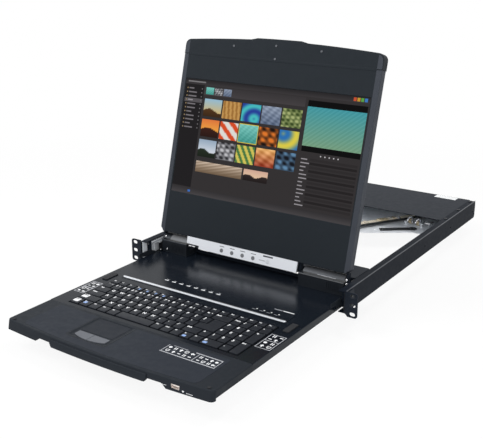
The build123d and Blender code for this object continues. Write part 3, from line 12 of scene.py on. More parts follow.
import bpy
import numpy as np
from mathutils import Euler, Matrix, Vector


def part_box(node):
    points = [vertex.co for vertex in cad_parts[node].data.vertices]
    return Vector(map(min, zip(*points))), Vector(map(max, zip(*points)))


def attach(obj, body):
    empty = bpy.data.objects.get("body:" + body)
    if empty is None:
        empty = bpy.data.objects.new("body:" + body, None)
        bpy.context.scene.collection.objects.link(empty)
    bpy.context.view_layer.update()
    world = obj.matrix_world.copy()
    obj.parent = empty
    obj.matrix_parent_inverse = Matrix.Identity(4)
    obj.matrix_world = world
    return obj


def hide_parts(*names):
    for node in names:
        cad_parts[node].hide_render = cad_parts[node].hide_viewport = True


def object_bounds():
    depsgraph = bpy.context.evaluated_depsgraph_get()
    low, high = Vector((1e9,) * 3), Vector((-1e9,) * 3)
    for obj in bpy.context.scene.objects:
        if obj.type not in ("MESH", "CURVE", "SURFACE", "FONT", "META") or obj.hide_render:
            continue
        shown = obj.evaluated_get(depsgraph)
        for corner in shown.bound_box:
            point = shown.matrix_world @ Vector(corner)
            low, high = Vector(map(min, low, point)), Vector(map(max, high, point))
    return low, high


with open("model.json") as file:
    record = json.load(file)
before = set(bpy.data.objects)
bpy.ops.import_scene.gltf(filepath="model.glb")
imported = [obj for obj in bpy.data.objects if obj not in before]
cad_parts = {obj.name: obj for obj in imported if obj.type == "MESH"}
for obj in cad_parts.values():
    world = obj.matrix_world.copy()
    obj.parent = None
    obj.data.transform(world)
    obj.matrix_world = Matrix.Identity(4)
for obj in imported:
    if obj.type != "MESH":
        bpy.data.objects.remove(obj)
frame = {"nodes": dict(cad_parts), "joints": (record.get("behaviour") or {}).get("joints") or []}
cad_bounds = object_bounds()
MM = 0.001

# %% [markdown]
# ## Camera
#
# The photograph was taken from the front right, from a little above. The camera was fitted to the rack ears,
# whose size is a standard, so its place is in real metres. A long lens keeps the edges nearly parallel.
# %% Place the camera
CAMERA_PLACE = Vector((0.7819, -1.12595, 0.5562))
CAMERA_AZIMUTH = 34.33
CAMERA_ELEVATION = 18.26
CAMERA_LENS = 61.93
SENSOR_WIDTH = 36.0
NEAREST_SEEN = 0.05


def make_camera():
    """A camera turned by its azimuth about Z after being tipped up from looking straight down."""
    data = bpy.data.cameras.new("camera")
    data.lens = CAMERA_LENS
    data.sensor_width = SENSOR_WIDTH
    data.clip_start = NEAREST_SEEN
    camera = bpy.data.objects.new("camera", data)
    camera.location = CAMERA_PLACE
    tip = math.radians(90 - CAMERA_ELEVATION)
    camera.rotation_euler = Euler((tip, 0, math.radians(CAMERA_AZIMUTH)))
    bpy.context.scene.collection.objects.link(camera)
    bpy.context.scene.camera = camera


make_camera()
print("camera", tuple(round(c, 3) for c in CAMERA_PLACE))

# %% [markdown]
# ## Mesh helpers
#
# Every new piece is a surface worked out with arrays. A shape is a pair, its points and its faces, and
# `mesh_piece` turns it into an object. `ring_faces` joins rings of equal length into a closed skin: it is the
# workhorse for caps, pads and clips, because a rounded outline carried along a profile gives soft edges with
# few faces. Shapes on the display are drawn upright, and `on_display` leans them back with it.
# %% Mesh helpers
DISPLAY_TILT = math.radians(15.0)
fold = next(j for j in frame["joints"] if j["name"] == "display_fold")
HINGE = np.array(fold["pos_m"])
finishes = {}


def mesh_piece(name, shape, body, finish, smooth=True):
    """An object from a shape in metres, riding on a body, in a finish given by its name."""
    points, faces = shape
    mesh = bpy.data.meshes.new(name)
    mesh.from_pydata(np.asarray(points, float).tolist(), [], faces)
    if smooth:
        mesh.polygons.foreach_set("use_smooth", np.ones(len(mesh.polygons), bool))
    mesh.materials.append(finishes[finish])
    mesh.update()
    piece = bpy.data.objects.new(name, mesh)
    bpy.context.scene.collection.objects.link(piece)
    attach(piece, body)
    return piece


def on_display(points):
    """Points drawn upright about the hinge, as (across, back, up), turned back by the display's tilt."""
    p = np.asarray(points, float)
    c, s = math.cos(DISPLAY_TILT), math.sin(DISPLAY_TILT)
    turned = np.stack([p[..., 0], p[..., 1] * c + p[..., 2] * s, p[..., 2] * c - p[..., 1] * s], axis=-1)
    return turned + HINGE


def stood_up(shape, face=0.0):
    """A shape drawn flat as (across, up, out), stood upright on a face: out becomes forward from it."""
    points, faces = shape
    return np.column_stack([points[:, 0], face - points[:, 2], points[:, 1]]), faces


def facing_front(shape, face=0.0):
    """A shape drawn flat as (across, up, out), laid on a face of the display that looks to the front."""
    points, faces = stood_up(shape, face)
    return on_display(points), faces


def ring_faces(rings, count, closed_ends=True):
    """Quads between neighbouring rings of count points, and a face over each end ring."""
    faces = []
    i = np.arange(count)
    j = (i + 1) % count
    for r in range(rings - 1):
        a = r * count
        quads = np.stack([a + i, a + j, a + count + j, a + count + i], axis=1)
        faces.extend(quads.tolist())
    if closed_ends:
        faces.append(list(range(count))[::-1])
        faces.append([(rings - 1) * count + k for k in range(count)])
    return faces


def rounded_outline(x0, x1, y0, y1, radius, steps=4):
    """Points round a rectangle, anticlockwise, each corner a quarter circle in a few steps."""
    radius = min(radius, (x1 - x0) / 2 - 1e-6, (y1 - y0) / 2 - 1e-6)
    angles = np.linspace(0, math.pi / 2, steps)
    corners = [(x1 - radius, y1 - radius), (x0 + radius, y1 - radius), (x0 + radius, y0 + radius),
               (x1 - radius, y0 + radius)]
    runs = []
    for turn, (cx, cy) in enumerate(corners):
        a = angles + turn * math.pi / 2
        runs.append(np.stack([cx + radius * np.cos(a), cy + radius * np.sin(a)], axis=1))
    return np.concatenate(runs)


def inset(outline, distance):
    """Each point moved towards the outline's middle, by the same distance across and along."""
    middle = (outline.max(0) + outline.min(0)) / 2
    half = (outline.max(0) - outline.min(0)) / 2
    return middle + (outline - middle) * (half - distance) / half


def join(shapes):
    """One shape from several."""
    points = []
    faces = []
    start = 0
    for own_points, own_faces in shapes:
        points.append(np.asarray(own_points, float))
        faces.extend([[k + start for k in face] for face in own_faces])
        start += len(own_points)
    return np.concatenate(points), faces


def soft_block(x0, x1, y0, y1, z0, z1, radius, edge, lean=0.0):
    """A block whose outline is rounded and whose upper edge is a quarter circle: rings at the foot, at the
    shoulder and along the quarter circle, each drawn in by its own distance."""
    outline = rounded_outline(x0, x1, y0, y1, radius)
    profile = [(0.0, z0), (lean, z1 - edge)]
    for a in np.linspace(math.pi / 8, math.pi / 2, 4):
        profile.append((lean + edge * (1 - math.cos(a)), z1 - edge + edge * math.sin(a)))
    rings = [np.column_stack([inset(outline, d), np.full(len(outline), z)]) for d, z in profile]
    return np.concatenate(rings), ring_faces(len(rings), len(outline))


def soft_block_mm(*sizes):
    """A soft block whose sizes are given in millimetres."""
    return soft_block(*[size * MM for size in sizes])


print("helpers ready, hinge at", HINGE.round(4))

# %% [markdown]
# ## Finishes
#
# The drawer is nearly all black, so its looks live in small differences: powder coat on steel has a fine
# orange-peel, moulded plastic a tiny spark-eroded grain, the deck a smoother lacquer that mirrors the silver
# strip. Each finish is a material with three noises of its own: a wide one that shifts the colour a little, a
# smaller one in the roughness, and a fine one as bump. Noise is used instead of a picture, so that it has no
# seams or repeats.
# %% A base recipe for finishes
EVENLY = (1, 1, 1)
COLOUR_DRIFT_MM = 45.0
GLOSS_DRIFT_MM = 9.0
COOL_SHEEN = (0.86, 0.93, 1.0, 1.0)


def put_node(tree, kind, inputs=None, **settings):
    """A shader node with its settings; each input is linked to an output, or given a value of its own."""
    node = tree.nodes.new("ShaderNode" + kind)
    for key, value in settings.items():
        setattr(node, key, value)
    for key, value in (inputs or {}).items():
        if isinstance(value, bpy.types.NodeSocket):
            tree.links.new(value, node.inputs[key])
        else:
            node.inputs[key].default_value = value
    return node


def base_finish(name, colour, roughness, specular=0.5, metallic=0.0):
    """A material with one shader whose constant values are set on the shader itself."""
    material = bpy.data.materials.new(name)
    material.use_nodes = True
    shader = material.node_tree.nodes["Principled BSDF"]
    shader.inputs["Base Color"].default_value = (*colour, 1)
    shader.inputs["Roughness"].default_value = roughness
    shader.inputs["Specular IOR Level"].default_value = specular
    shader.inputs["Metallic"].default_value = metallic
    finishes[name] = material
    return material.node_tree, shader


def object_noise(tree, size_mm, detail, stretch):
    """Noise in object coordinates whose blobs are about size_mm across."""
    place = put_node(tree, "TexCoord").outputs["Object"]
    mapping = put_node(tree, "Mapping", {"Vector": place, "Scale": stretch})
    noise = put_node(tree, "TexNoise", {"Vector": mapping.outputs["Vector"], "Scale": 1000.0 / size_mm,
                                        "Detail": detail})
    return noise.outputs["Fac"]


def vary_colour(tree, shader, colour, amount, size_mm, stretch=EVENLY):
    """Colour that drifts between a darker and a lighter tone by the noise."""
    dark = tuple(c * (1 - amount) for c in colour)
    light = tuple(min(1.0, c * (1 + amount)) for c in colour)
    mix = put_node(tree, "Mix", {"A": (*dark, 1), "B": (*light, 1),
                                 "Factor": object_noise(tree, size_mm, 2.0, stretch)}, data_type="RGBA")
    tree.links.new(mix.outputs["Result"], shader.inputs["Base Color"])


def vary_roughness(tree, shader, low, high, size_mm, stretch=EVENLY):
    """Roughness that runs between two values by a noise of its own."""
    spread = put_node(tree, "MapRange", {"From Min": 0.3, "From Max": 0.7, "To Min": low, "To Max": high,
                                         "Value": object_noise(tree, size_mm, 2.0, stretch)})
    tree.links.new(spread.outputs["Result"], shader.inputs["Roughness"])


def add_bump(tree, shader, size_mm, strength, distance_mm=0.05, stretch=EVENLY):
    """Fine relief from noise."""
    bump = put_node(tree, "Bump", {"Strength": strength, "Distance": distance_mm * MM,
                                   "Height": object_noise(tree, size_mm, 3.0, stretch)})
    tree.links.new(bump.outputs["Normal"], shader.inputs["Normal"])


def layered(name, colour, specular, metallic, drift, gloss, grain=None):
    """A finish in layers: colour drift (amount, size), gloss (roughness low, high, size) and, where it has one,
    grain (size, strength), each size in millimetres."""
    tree, shader = base_finish(name, colour, (gloss[0] + gloss[1]) / 2, specular, metallic)
    vary_colour(tree, shader, colour, *drift)
    vary_roughness(tree, shader, *gloss)
    if grain:
        add_bump(tree, shader, *grain)
    return tree, shader


def grained(name, colour, low, high, specular, grain_mm, strength, drift=0.12):
    """Colour drift over some centimetres, roughness over some millimetres and grain below one. The coats and
    plastics of this drawer throw the light back a little cool."""
    tree, shader = layered(name, colour, specular, 0.0, (drift, COLOUR_DRIFT_MM), (low, high, GLOSS_DRIFT_MM),
                           (grain_mm, strength))
    shader.inputs["Specular Tint"].default_value = COOL_SHEEN
    return tree, shader


# %% Coats, plastics and inks
POWDER_COAT = ((0.0108, 0.0141, 0.0208), 0.50, 0.55, 0.10, 0.9, 0.15, 0.05)
# Each line: colour, roughness low and high, specular, grain size in mm, its strength, and the colour's drift.
for name, recipe in {
        "powder_coat": POWDER_COAT,
        # The side channels wear the chassis's powder coat, copied darker: painted shade on their sides.
        "channel_coat_painted_shade": ((0.0063, 0.0089, 0.0145), 0.50, 0.56, 0.05, 0.9, 0.15, 0.05),
        # The next finish is far lighter than the coats it lies on: it paints the highlight along the chassis's bent
        # edges.
        "edge_painted_highlight": ((0.046, 0.050, 0.060), 0.34, 0.44, 0.30, 0.9, 0.2, 0.08),
        "deck_lacquer": ((0.0062, 0.0088, 0.0136), 0.20, 0.25, 0.120, 1.2, 0.04, 0.05),
        "front_plastic": ((0.0150, 0.0180, 0.0230), 0.48, 0.60, 0.12, 0.5, 0.30),
        "palm_plastic": ((0.0225, 0.0265, 0.0350), 0.50, 0.62, 0.10, 0.5, 0.35, 0.06),
        "key_plastic": ((0.0145, 0.0165, 0.0215), 0.38, 0.48, 0.18, 0.4, 0.18),
        "well_plastic": ((0.0035, 0.0038, 0.0045), 0.55, 0.65, 0.15, 0.6, 0.2),
        "bezel_plastic": ((0.0128, 0.0162, 0.0202), 0.50, 0.60, 0.12, 0.45, 0.32, 0.05),
        "trim_plastic_and_highlight": ((0.0430, 0.0480, 0.0590), 0.46, 0.56, 0.12, 0.45, 0.28),
        "block_plastic": ((0.0095, 0.0115, 0.0150), 0.36, 0.46, 0.28, 0.6, 0.22),
        "black_oxide": ((0.012, 0.013, 0.015), 0.34, 0.46, 0.35, 1.0, 0.25),
        "rubber": ((0.018, 0.018, 0.020), 0.62, 0.75, 0.3, 0.7, 0.35),
        "pad_grey": ((0.0170, 0.0200, 0.0265), 0.46, 0.56, 0.10, 0.35, 0.3),
        "button_plastic": ((0.118, 0.126, 0.143), 0.38, 0.48, 0.2, 0.4, 0.18, 0.08),
        "osd_plastic": ((0.150, 0.155, 0.165), 0.32, 0.42, 0.4, 0.4, 0.18, 0.08),
        "power_plastic": ((0.60, 0.62, 0.66), 0.30, 0.40, 0.4, 0.4, 0.15, 0.05),
        "bumper_rubber": ((0.105, 0.110, 0.122), 0.55, 0.65, 0.2, 0.5, 0.3, 0.08),
        "foot_plastic_and_highlight": ((0.135, 0.138, 0.145), 0.40, 0.50, 0.35, 0.6, 0.25, 0.10),
        "hinge_plastic": ((0.058, 0.060, 0.066), 0.40, 0.50, 0.35, 0.6, 0.25, 0.15),
        "lead_cream": ((0.62, 0.56, 0.45), 0.45, 0.55, 0.4, 1.4, 0.3),
        "lead_black": ((0.012, 0.012, 0.013), 0.4, 0.5, 0.45, 1.0, 0.3),
        "socket_plastic": ((0.02, 0.02, 0.022), 0.4, 0.5, 0.4, 0.5, 0.2),
        "label_paper": ((0.86, 0.87, 0.88), 0.42, 0.52, 0.35, 0.8, 0.15, 0.02),
        "legend_grey": ((0.46, 0.47, 0.50), 0.45, 0.55, 0.2, 0.5, 0.05, 0.04),
        "legend_ink": ((0.88, 0.89, 0.91), 0.45, 0.55, 0.3, 0.5, 0.05, 0.04),
        "legend_blue": ((0.28, 0.42, 0.74), 0.45, 0.55, 0.3, 0.5, 0.05, 0.04),
        "legend_dark": ((0.05, 0.055, 0.065), 0.45, 0.55, 0.3, 0.5, 0.05, 0.04),
        "legend_pale_and_highlight": ((0.42, 0.43, 0.46), 0.45, 0.55, 0.3, 0.5, 0.05, 0.04)}.items():
    grained(name, *recipe)
print("coats, plastics and inks", len(finishes))

# %% Metals
# Zinc plate is a spangle of pale and darker patches, and brushed silver is noise stretched far along the strip.
ZINC = ((0.80, 0.83, 0.87), 0.5, 0.20, (0.10, 7.0), (0.34, 0.50, 5.0), (2.5, 0.12))
ALONG = (0.02, 1, 1)
BRUSHED = ((0.72, 0.745, 0.79), 0.5, 0.35, (0.03, 0.5, ALONG), (0.34, 0.46, 0.6, ALONG), (0.4, 0.05, 0.02, ALONG))
TURNED = (1, 6, 1)
layered("zinc", *ZINC)
layered("brushed_strip", *BRUSHED)
layered("bright_steel", (0.74, 0.74, 0.76), 0.5, 1.0, (0.10, 3.0), (0.18, 0.32, 1.5, TURNED), (0.6, 0.08))
layered("socket_shell", (0.86, 0.78, 0.73), 0.5, 0.45, (0.06, 3.0), (0.22, 0.36, 2.0))
layered("yellow_plate", (0.66, 0.55, 0.36), 0.5, 0.5, (0.2, 4.0), (0.24, 0.4, 2.0))
print("with metals", len(finishes))

# %% [markdown]
# ## Finishes of two colours
#
# Some pieces carry two finishes: a slide is zinc with a black front end that paints shade there, the inlay is silver
# only along its front, and the rear cover is coated outside and bare beneath. A second object could lie over the
# first, but a mask in the material needs no new shape: it is 1 where the surface's own place, or its normal, is
# beyond a limit.
# %% Paint over a mask
BLACK_PAINT_AND_SHADE = (0.008, 0.009, 0.011)
BARE_ZINC = (0.72, 0.75, 0.79)


def mask(tree, reading, axis, operation, limit):
    """1 where the surface's Object place or Normal is beyond a limit on an axis, else 0."""
    split = put_node(tree, "SeparateXYZ", {0: put_node(tree, "TexCoord").outputs[reading]})
    return put_node(tree, "Math", {0: split.outputs[axis], 1: limit}, operation=operation).outputs[0]


def paint_over(made, paint, *masks):
    """Another colour over a finish's own where all masks are 1: they are multiplied."""
    tree, shader = made
    where = mask(tree, *masks[0])
    for test in masks[1:]:
        where = put_node(tree, "Math", {0: where, 1: mask(tree, *test)}, operation="MULTIPLY").outputs[0]
    own = shader.inputs["Base Color"].links[0].from_socket
    mix = put_node(tree, "Mix", {"A": own, "B": (*paint, 1), "Factor": where}, data_type="RGBA")
    tree.links.new(mix.outputs["Result"], shader.inputs["Base Color"])


# The right outer slide is black within 2.5 mm of its front end: painted shade at the slide's front.
paint_over(layered("zinc_shaded_front_end", *ZINC), BLACK_PAINT_AND_SHADE, ("Object", "Y", "LESS_THAN", 2.5 * MM))
paint_over(layered("zinc_rimmed", *ZINC), BLACK_PAINT_AND_SHADE, ("Object", "Y", "GREATER_THAN", 25.0 * MM),
           ("Object", "Z", "LESS_THAN", 9.6 * MM))
paint_over(layered("brushed_inlay", *BRUSHED), BLACK_PAINT_AND_SHADE, ("Object", "Y", "GREATER_THAN", -104.6 * MM))
paint_over(grained("coat_over_zinc", *POWDER_COAT), BARE_ZINC, ("Normal", "Z", "LESS_THAN", -0.5))
paint_over(grained("board_lacquer", (0.02, 0.11, 0.045), 0.3, 0.4, 0.5, 1.5, 0.3), BLACK_PAINT_AND_SHADE,
           ("Object", "Z", "GREATER_THAN", -10.35 * MM))
print("finishes", len(finishes))

# %% [markdown]
# ## Finishes on the model's nodes
#
# A node whose shape is already right only needs its finish. A dictionary from finish to node names keeps this
# short, and a node that is forgotten shows up in the printed list. A star stands for left and right.
# %% Give each node its finish
nodes_in = {
    "coat_over_zinc": "rear_cover",
    "powder_coat": "mounting_ear_* rear_panel rear_shelf hinge_arm_*",
    # The side channels take the darker copy of the powder coat, which paints shade on them.
    "channel_coat_painted_shade": "side_channel_*",
    "zinc": "rear_base_plate outer_slide_left ball_retainer_* tray_bottom_plate",
    # The right outer slide's black front end is painted shade.
    "zinc_shaded_front_end": "outer_slide_right",
    "zinc_rimmed": "inner_slide_*",
    "black_oxide": "side_bracket_* chassis_screws",
    "deck_lacquer": "tray_pan indicator_strip",
    "front_plastic": "front_moulding pull_handle slide_latch_* touchpad_frame",
    "palm_plastic": "palm_rest",
    "well_plastic": "keyboard_plate",
    "block_plastic": "hinge_block_*",
    "bezel_plastic": "display_bezel display_rear_cover display_top_cap",
    "trim_plastic_and_highlight": "display_side_trims",
    "key_plastic": "function_keys typing_keys control_keys space_bar enter_key number_pad_keys",
    "pad_grey": "touchpad",
    "button_plastic": "touchpad_button_*",
    "osd_plastic": "osd_menu_button osd_down_button osd_up_button osd_exit_button",
    "power_plastic": "power_button",
    "brushed_strip": "osd_panel",
    "brushed_inlay": "function_bar",
    "socket_shell": "usb_port",
    "rubber": "deck_pads",
    "bumper_rubber": "display_bumpers",
    "lead_black": "cable_arm_rear_link cable_arm_front_link",
    "lead_cream": "rear_arm_cables front_arm_cables",
    "board_lacquer": "interface_board",
    "socket_plastic": "display_glass",
}
named = set()
for finish, words in nodes_in.items():
    for word in words.split():
        for node in (word.replace("*", "left"), word.replace("*", "right")):
            frame["nodes"][node].data.materials.clear()
            frame["nodes"][node].data.materials.append(finishes[finish])
            named.add(node)
print("without a finish:", sorted(set(frame["nodes"]) - named))

# %% [markdown]
# ## Key caps
#
# A real cap is a tapered box with a soft upper edge, so light runs along its rim.
# The model's caps are plain tapers. Here each cap is the rounded outline carried up a short profile, one piece
# per moving group, so that a pressed group still moves. The rows are worked out from the nodes' own boxes. The
# enter key spans two rows and keeps the model's own cap.
# %% Work out the rows
CAP_GAP = 1.3 * MM
CAP_HEIGHT = 4.0 * MM
CAP_LEAN = 0.95 * MM
CAP_EDGE = 0.45 * MM
CAP_CORNER = 0.9 * MM
MAIN_COLUMNS = 15
ALL_COLUMNS = 19

keys_low, keys_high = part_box("function_keys")
KEY_TOP = keys_high.z
PITCH = (keys_high.x - keys_low.x + CAP_GAP) / ALL_COLUMNS
LEFT_EDGE = keys_low.x - CAP_GAP / 2
ROWS_BACK = keys_high.y + CAP_GAP / 2
FUNCTION_DEPTH = keys_high.y - keys_low.y + CAP_GAP
ROWS_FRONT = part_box("control_keys")[0].y - CAP_GAP / 2
ROW_DEPTH = (ROWS_BACK - FUNCTION_DEPTH - ROWS_FRONT) / 5
print("pitch", round(PITCH * 1000, 2), "row", round(ROW_DEPTH * 1000, 2))


def row_span(row):
    """Front and back of a row; row 0 is the shallow one at the back."""
    if row == 0:
        return ROWS_BACK - FUNCTION_DEPTH, ROWS_BACK
    back = ROWS_BACK - FUNCTION_DEPTH - (row - 1) * ROW_DEPTH
    return back - ROW_DEPTH, back


def cap_box(column, row, width=1.0, rows=1):
    """Left, right, front and back of a cap given in key pitches."""
    left = LEFT_EDGE + column * PITCH + CAP_GAP / 2
    right = left + width * PITCH - CAP_GAP
    return left, right, row_span(row + rows - 1)[0] + CAP_GAP / 2, row_span(row)[1] - CAP_GAP / 2


def cap_surface(box):
    """The soft block of one cap."""
    return soft_block(*box, KEY_TOP - CAP_HEIGHT, KEY_TOP, CAP_CORNER, CAP_EDGE, CAP_LEAN)


# %% Build the caps by group
key_boxes = {}


def put_row(group, row, widths, column=0.0):
    """Note the boxes of neighbouring keys in one row."""
    for width in widths:
        key_boxes.setdefault(group, []).append(cap_box(column, row, width))
        column += width


space_low, space_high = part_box("space_bar")
SPACE_START = (space_low.x - CAP_GAP / 2 - LEFT_EDGE) / PITCH
SPACE_END = (space_high.x + CAP_GAP / 2 - LEFT_EDGE) / PITCH
put_row("function_keys", 0, [1.0] * ALL_COLUMNS)
put_row("typing_keys", 1, [1.0] * 13 + [2.0])
put_row("typing_keys", 2, [1.5] + [1.0] * 12)
put_row("typing_keys", 3, [1.75] + [1.0] * 11)
put_row("typing_keys", 4, [2.25] + [1.0] * 10 + [1.75, 1.0])
put_row("control_keys", 5, [SPACE_START / 5] * 5)
put_row("control_keys", 5, [(MAIN_COLUMNS - SPACE_END) / 5] * 5, SPACE_END)
for pad_row in range(1, 5):
    put_row("number_pad_keys", pad_row, [1.0] * 3, MAIN_COLUMNS)
key_boxes["number_pad_keys"] += [
    cap_box(MAIN_COLUMNS + 3, 1), cap_box(MAIN_COLUMNS + 3, 2, 1.0, 2), cap_box(MAIN_COLUMNS + 3, 4, 1.0, 2),
    cap_box(MAIN_COLUMNS, 5, 2.0), cap_box(MAIN_COLUMNS + 2, 5)]
key_boxes["space_bar"] = [cap_box(SPACE_START, 5, SPACE_END - SPACE_START)]

for group, boxes in key_boxes.items():
    caps = mesh_piece(group + "_caps", join([cap_surface(b) for b in boxes]), group, "key_plastic")
    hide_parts(group)
print("caps", {g: len(b) for g, b in key_boxes.items()})

# %% [markdown]
# ## Printed legends
#
# The legends are flat print on the caps: single letters, digits and the usual short words. Each one is set as
# text, turned into a mesh and gathered with the others of its group, a hair above the cap, so it moves with it.
# %% Set legends in type
PRINT_LIFT = 0.03 * MM
STROKE_WEIGHT = 0.045
CAPITAL_HEIGHT = 0.72
LETTER = 7.6 * MM
WORD = 4.9 * MM
SMALL = 3.8 * MM
FROM_LEFT = 2.3 * MM
FROM_BACK = 2.2 * MM


def text_mesh(text, size):
    """The shape of one flat word standing on the origin, its strokes thickened by a share of its size."""
    curve = bpy.data.curves.new("type", "FONT")
    curve.body = text
    curve.size = size
    curve.offset = STROKE_WEIGHT * size
    curve.resolution_u = 2
    holder = bpy.data.objects.new("type", curve)
    bpy.context.scene.collection.objects.link(holder)
    bpy.context.view_layer.update()
    made = bpy.data.meshes.new_from_object(holder.evaluated_get(bpy.context.evaluated_depsgraph_get()))
    points = np.zeros(len(made.vertices) * 3)
    made.vertices.foreach_get("co", points)
    faces = [list(p.vertices) for p in made.polygons]
    bpy.data.objects.remove(holder)
    bpy.data.curves.remove(curve)
    bpy.data.meshes.remove(made)
    return points.reshape(-1, 3), faces


def print_on_caps(group, entries, name, ink="legend_ink"):
    """Words at given places on the caps' tops, as one flat mesh."""
    words = []
    for text, x, y, size in entries:
        points, faces = text_mesh(text, size)
        words.append((points + np.array([x, y, KEY_TOP + PRINT_LIFT]), faces))
    mesh_piece(name, join(words), group, ink, smooth=False)


def legend_entries(group, words, letter=LETTER, word=WORD):
    """Each word near the back left corner of its cap."""
    entries = []
    for text, (left, right, front, back) in zip(words, key_boxes[group]):
        size = letter if len(text) == 1 else word
        entries.append((text, left + FROM_LEFT, back - FROM_BACK - size * CAPITAL_HEIGHT, size))
    return entries


# %% Print the keys
main_words = (
    ["`", "1", "2", "3", "4", "5", "6", "7", "8", "9", "0", "-", "=", "Back"]
    + ["Tab"] + list("QWERTYUIOP[]") + ["Caps"] + list("ASDFGHJKL;'")
    + ["Shift"] + list("ZXCVBNM,./") + ["Shift", "^"])
function_words = ["Esc"] + ["F%d" % n for n in range(1, 13)] + ["Ins", "Del", "Hm", "End", "Up", "Dn"]
control_words = ["Ctrl", "Fn", "Alt", "Sys", "Alt", "Alt", "Ctrl", "<", "v", ">"]
pad_words = ["Num", "/", "*", "7", "8", "9", "4", "5", "6", "1", "2", "3", "-", "+", "Ent", "0", "."]

typing = legend_entries("typing_keys", main_words)
for text, (left, right, front, back) in zip("~!@#$%^&*()_+", key_boxes["typing_keys"]):
    typing.append((text, left + 9.8 * MM, back - FROM_BACK - SMALL, SMALL * 1.2))
print_on_caps("typing_keys", typing, "typing_legends")
print_on_caps("function_keys", legend_entries("function_keys", function_words, WORD, SMALL), "function_legends")
print_on_caps("control_keys", legend_entries("control_keys", control_words, LETTER * 0.8, SMALL * 1.1),
              "control_legends")
print_on_caps("number_pad_keys", legend_entries("number_pad_keys", pad_words), "number_pad_legends")
blue_digits = []
for index in range(3, 7):
    left, right, front, back = key_boxes["function_keys"][index]
    blue_digits.append((str(index + 2), left + 8.2 * MM, front + 1.6 * MM, LETTER))
print_on_caps("function_keys", blue_digits, "function_second_legends", "legend_blue")


def mark_block(group, index, across, name, ink, start=1.6, low=0.30, high=0.92):
    """A filled block of print on one cap: a flat face with round corners that starts some millimetres from the
    left, is some millimetres wide, and runs between two shares of the cap's depth."""
    left, right, front, back = key_boxes[group][index]
    depth = back - front
    outline = rounded_outline(left + start * MM, left + (start + across) * MM, front + low * depth,
                              front + high * depth, 1.2 * MM)
    points = np.column_stack([outline, np.full(len(outline), KEY_TOP + PRINT_LIFT)])
    mesh_piece(name, (points, [list(range(len(outline)))]), group, ink, smooth=False)


SECOND_SHIFT_KEY = 14 + 13 + 12
mark_block("typing_keys", SECOND_SHIFT_KEY, 12.0, "shift_block", "legend_ink")
mark_block("control_keys", 0, 11.0, "control_block", "legend_ink")
mark_block("control_keys", 1, 6.5, "second_block", "legend_blue", 3.0, 0.42, 0.78)
mark_block("control_keys", 8, 6.5, "arrow_block", "legend_blue", 3.5, 0.14, 0.44)
mark_block("number_pad_keys", 15, 7.5, "zero_block", "legend_blue", 4.0, 0.14, 0.44)
print("legends printed")

# %% [markdown]
# ## The picture on the screen
#
# The screen shows a window of a picture organiser: a dark page with a side list, rows of small pictures and a
# large sea-green preview. It is a generic page of our own. Every patch is a small grid whose corner colours
# come from a formula, kept in one colour attribute, and one glowing material reads it.
# %% Patches of colour
SCREEN_LEFT = -191.2 * MM
SCREEN_RIGHT = 191.2 * MM
SCREEN_LOW = 98.4 * MM
SCREEN_HIGH = 313.0 * MM
PICTURE_PLANE = -14.86 * MM
LAYER_STEP = 0.01 * MM
patches = []


def colour_patch(x0, x1, y0, y1, colour_at, layer=0, cells=(1, 1)):
    """A grid over a share of the screen, whose colours are colour_at(u, v) with u across and v up."""
    across = SCREEN_LEFT + (SCREEN_RIGHT - SCREEN_LEFT) * np.linspace(x0, x1, cells[0] + 1)
    up = SCREEN_LOW + (SCREEN_HIGH - SCREEN_LOW) * np.linspace(y0, y1, cells[1] + 1)
    u, v = np.meshgrid(np.linspace(0, 1, cells[0] + 1), np.linspace(0, 1, cells[1] + 1))
    gx, gv = np.meshgrid(across, up)
    depth = np.full_like(gx, PICTURE_PLANE - layer * LAYER_STEP)
    points = on_display(np.stack([gx, depth, gv], axis=-1)).reshape(-1, 3)
    colours = np.zeros(u.shape + (3,))
    colours[:] = colour_at(u[..., None], v[..., None])
    columns = cells[0] + 1
    i, j = np.meshgrid(np.arange(cells[0]), np.arange(cells[1]))
    a = (j * columns + i).ravel()
    faces = np.stack([a, a + 1, a + 1 + columns, a + columns], axis=1).tolist()
    patches.append((points, faces, colours.reshape(-1, 3)))


def tone(colour):
    """A colour as seen on a screen, from 0 to 255, as an array from 0 to 1."""
    return np.array(colour) / 255.0


def plain(*colour):
    """One colour everywhere."""
    return lambda u, v: tone(colour) + 0 * u


def blend_up(low, high):
    """A colour that runs from low at the foot to high at the top."""
    a, b = tone(low), tone(high)
    return lambda u, v: a + (b - a) * v


def rippled(low, high, waves, strength):
    """A vertical run with slanted ripples: sines across and up, multiplied."""
    base = blend_up(low, high)
    return lambda u, v: np.clip(base(u, v) + strength * np.sin(waves * (u * 1.7 + v)) * np.sin(waves * 2.3 * v), 0, 1)


def striped(first, second, count, slant=0.0):
    """Two colours in bands across the patch."""
    a, b = tone(first), tone(second)
    return lambda u, v: np.where(np.sin(math.pi * count * (u + slant * v)) > 0, a, b)


def hill(sky_low, sky_high, ground, height, waves):
    """A sky over a rounded skyline: below the sine the ground's colour shows."""
    sky = blend_up(sky_low, sky_high)
    return lambda u, v: np.where(v < height + 0.12 * np.sin(waves * u), tone(ground) * (0.6 + 0.6 * v), sky(u, v))


def rings(inner, outer, cx, cy, count):
    """Two colours that swing with the distance from a point."""
    a, b = tone(inner), tone(outer)
    return lambda u, v: a + (b - a) * (0.5 + 0.5 * np.sin(count * np.hypot(u - cx, v - cy)))


def mottled(first, second, waves, seed):
    """A leafy jumble: products of sines at odd angles, cut between two colours."""
    a, b = tone(first), tone(second)
    return lambda u, v: a + (b - a) * np.clip(
        0.5 + 0.9 * np.sin(waves * u + seed) * np.sin(waves * 1.3 * v + 2 * seed)
        * np.sin(waves * 0.7 * (u + v) + seed), 0, 1)


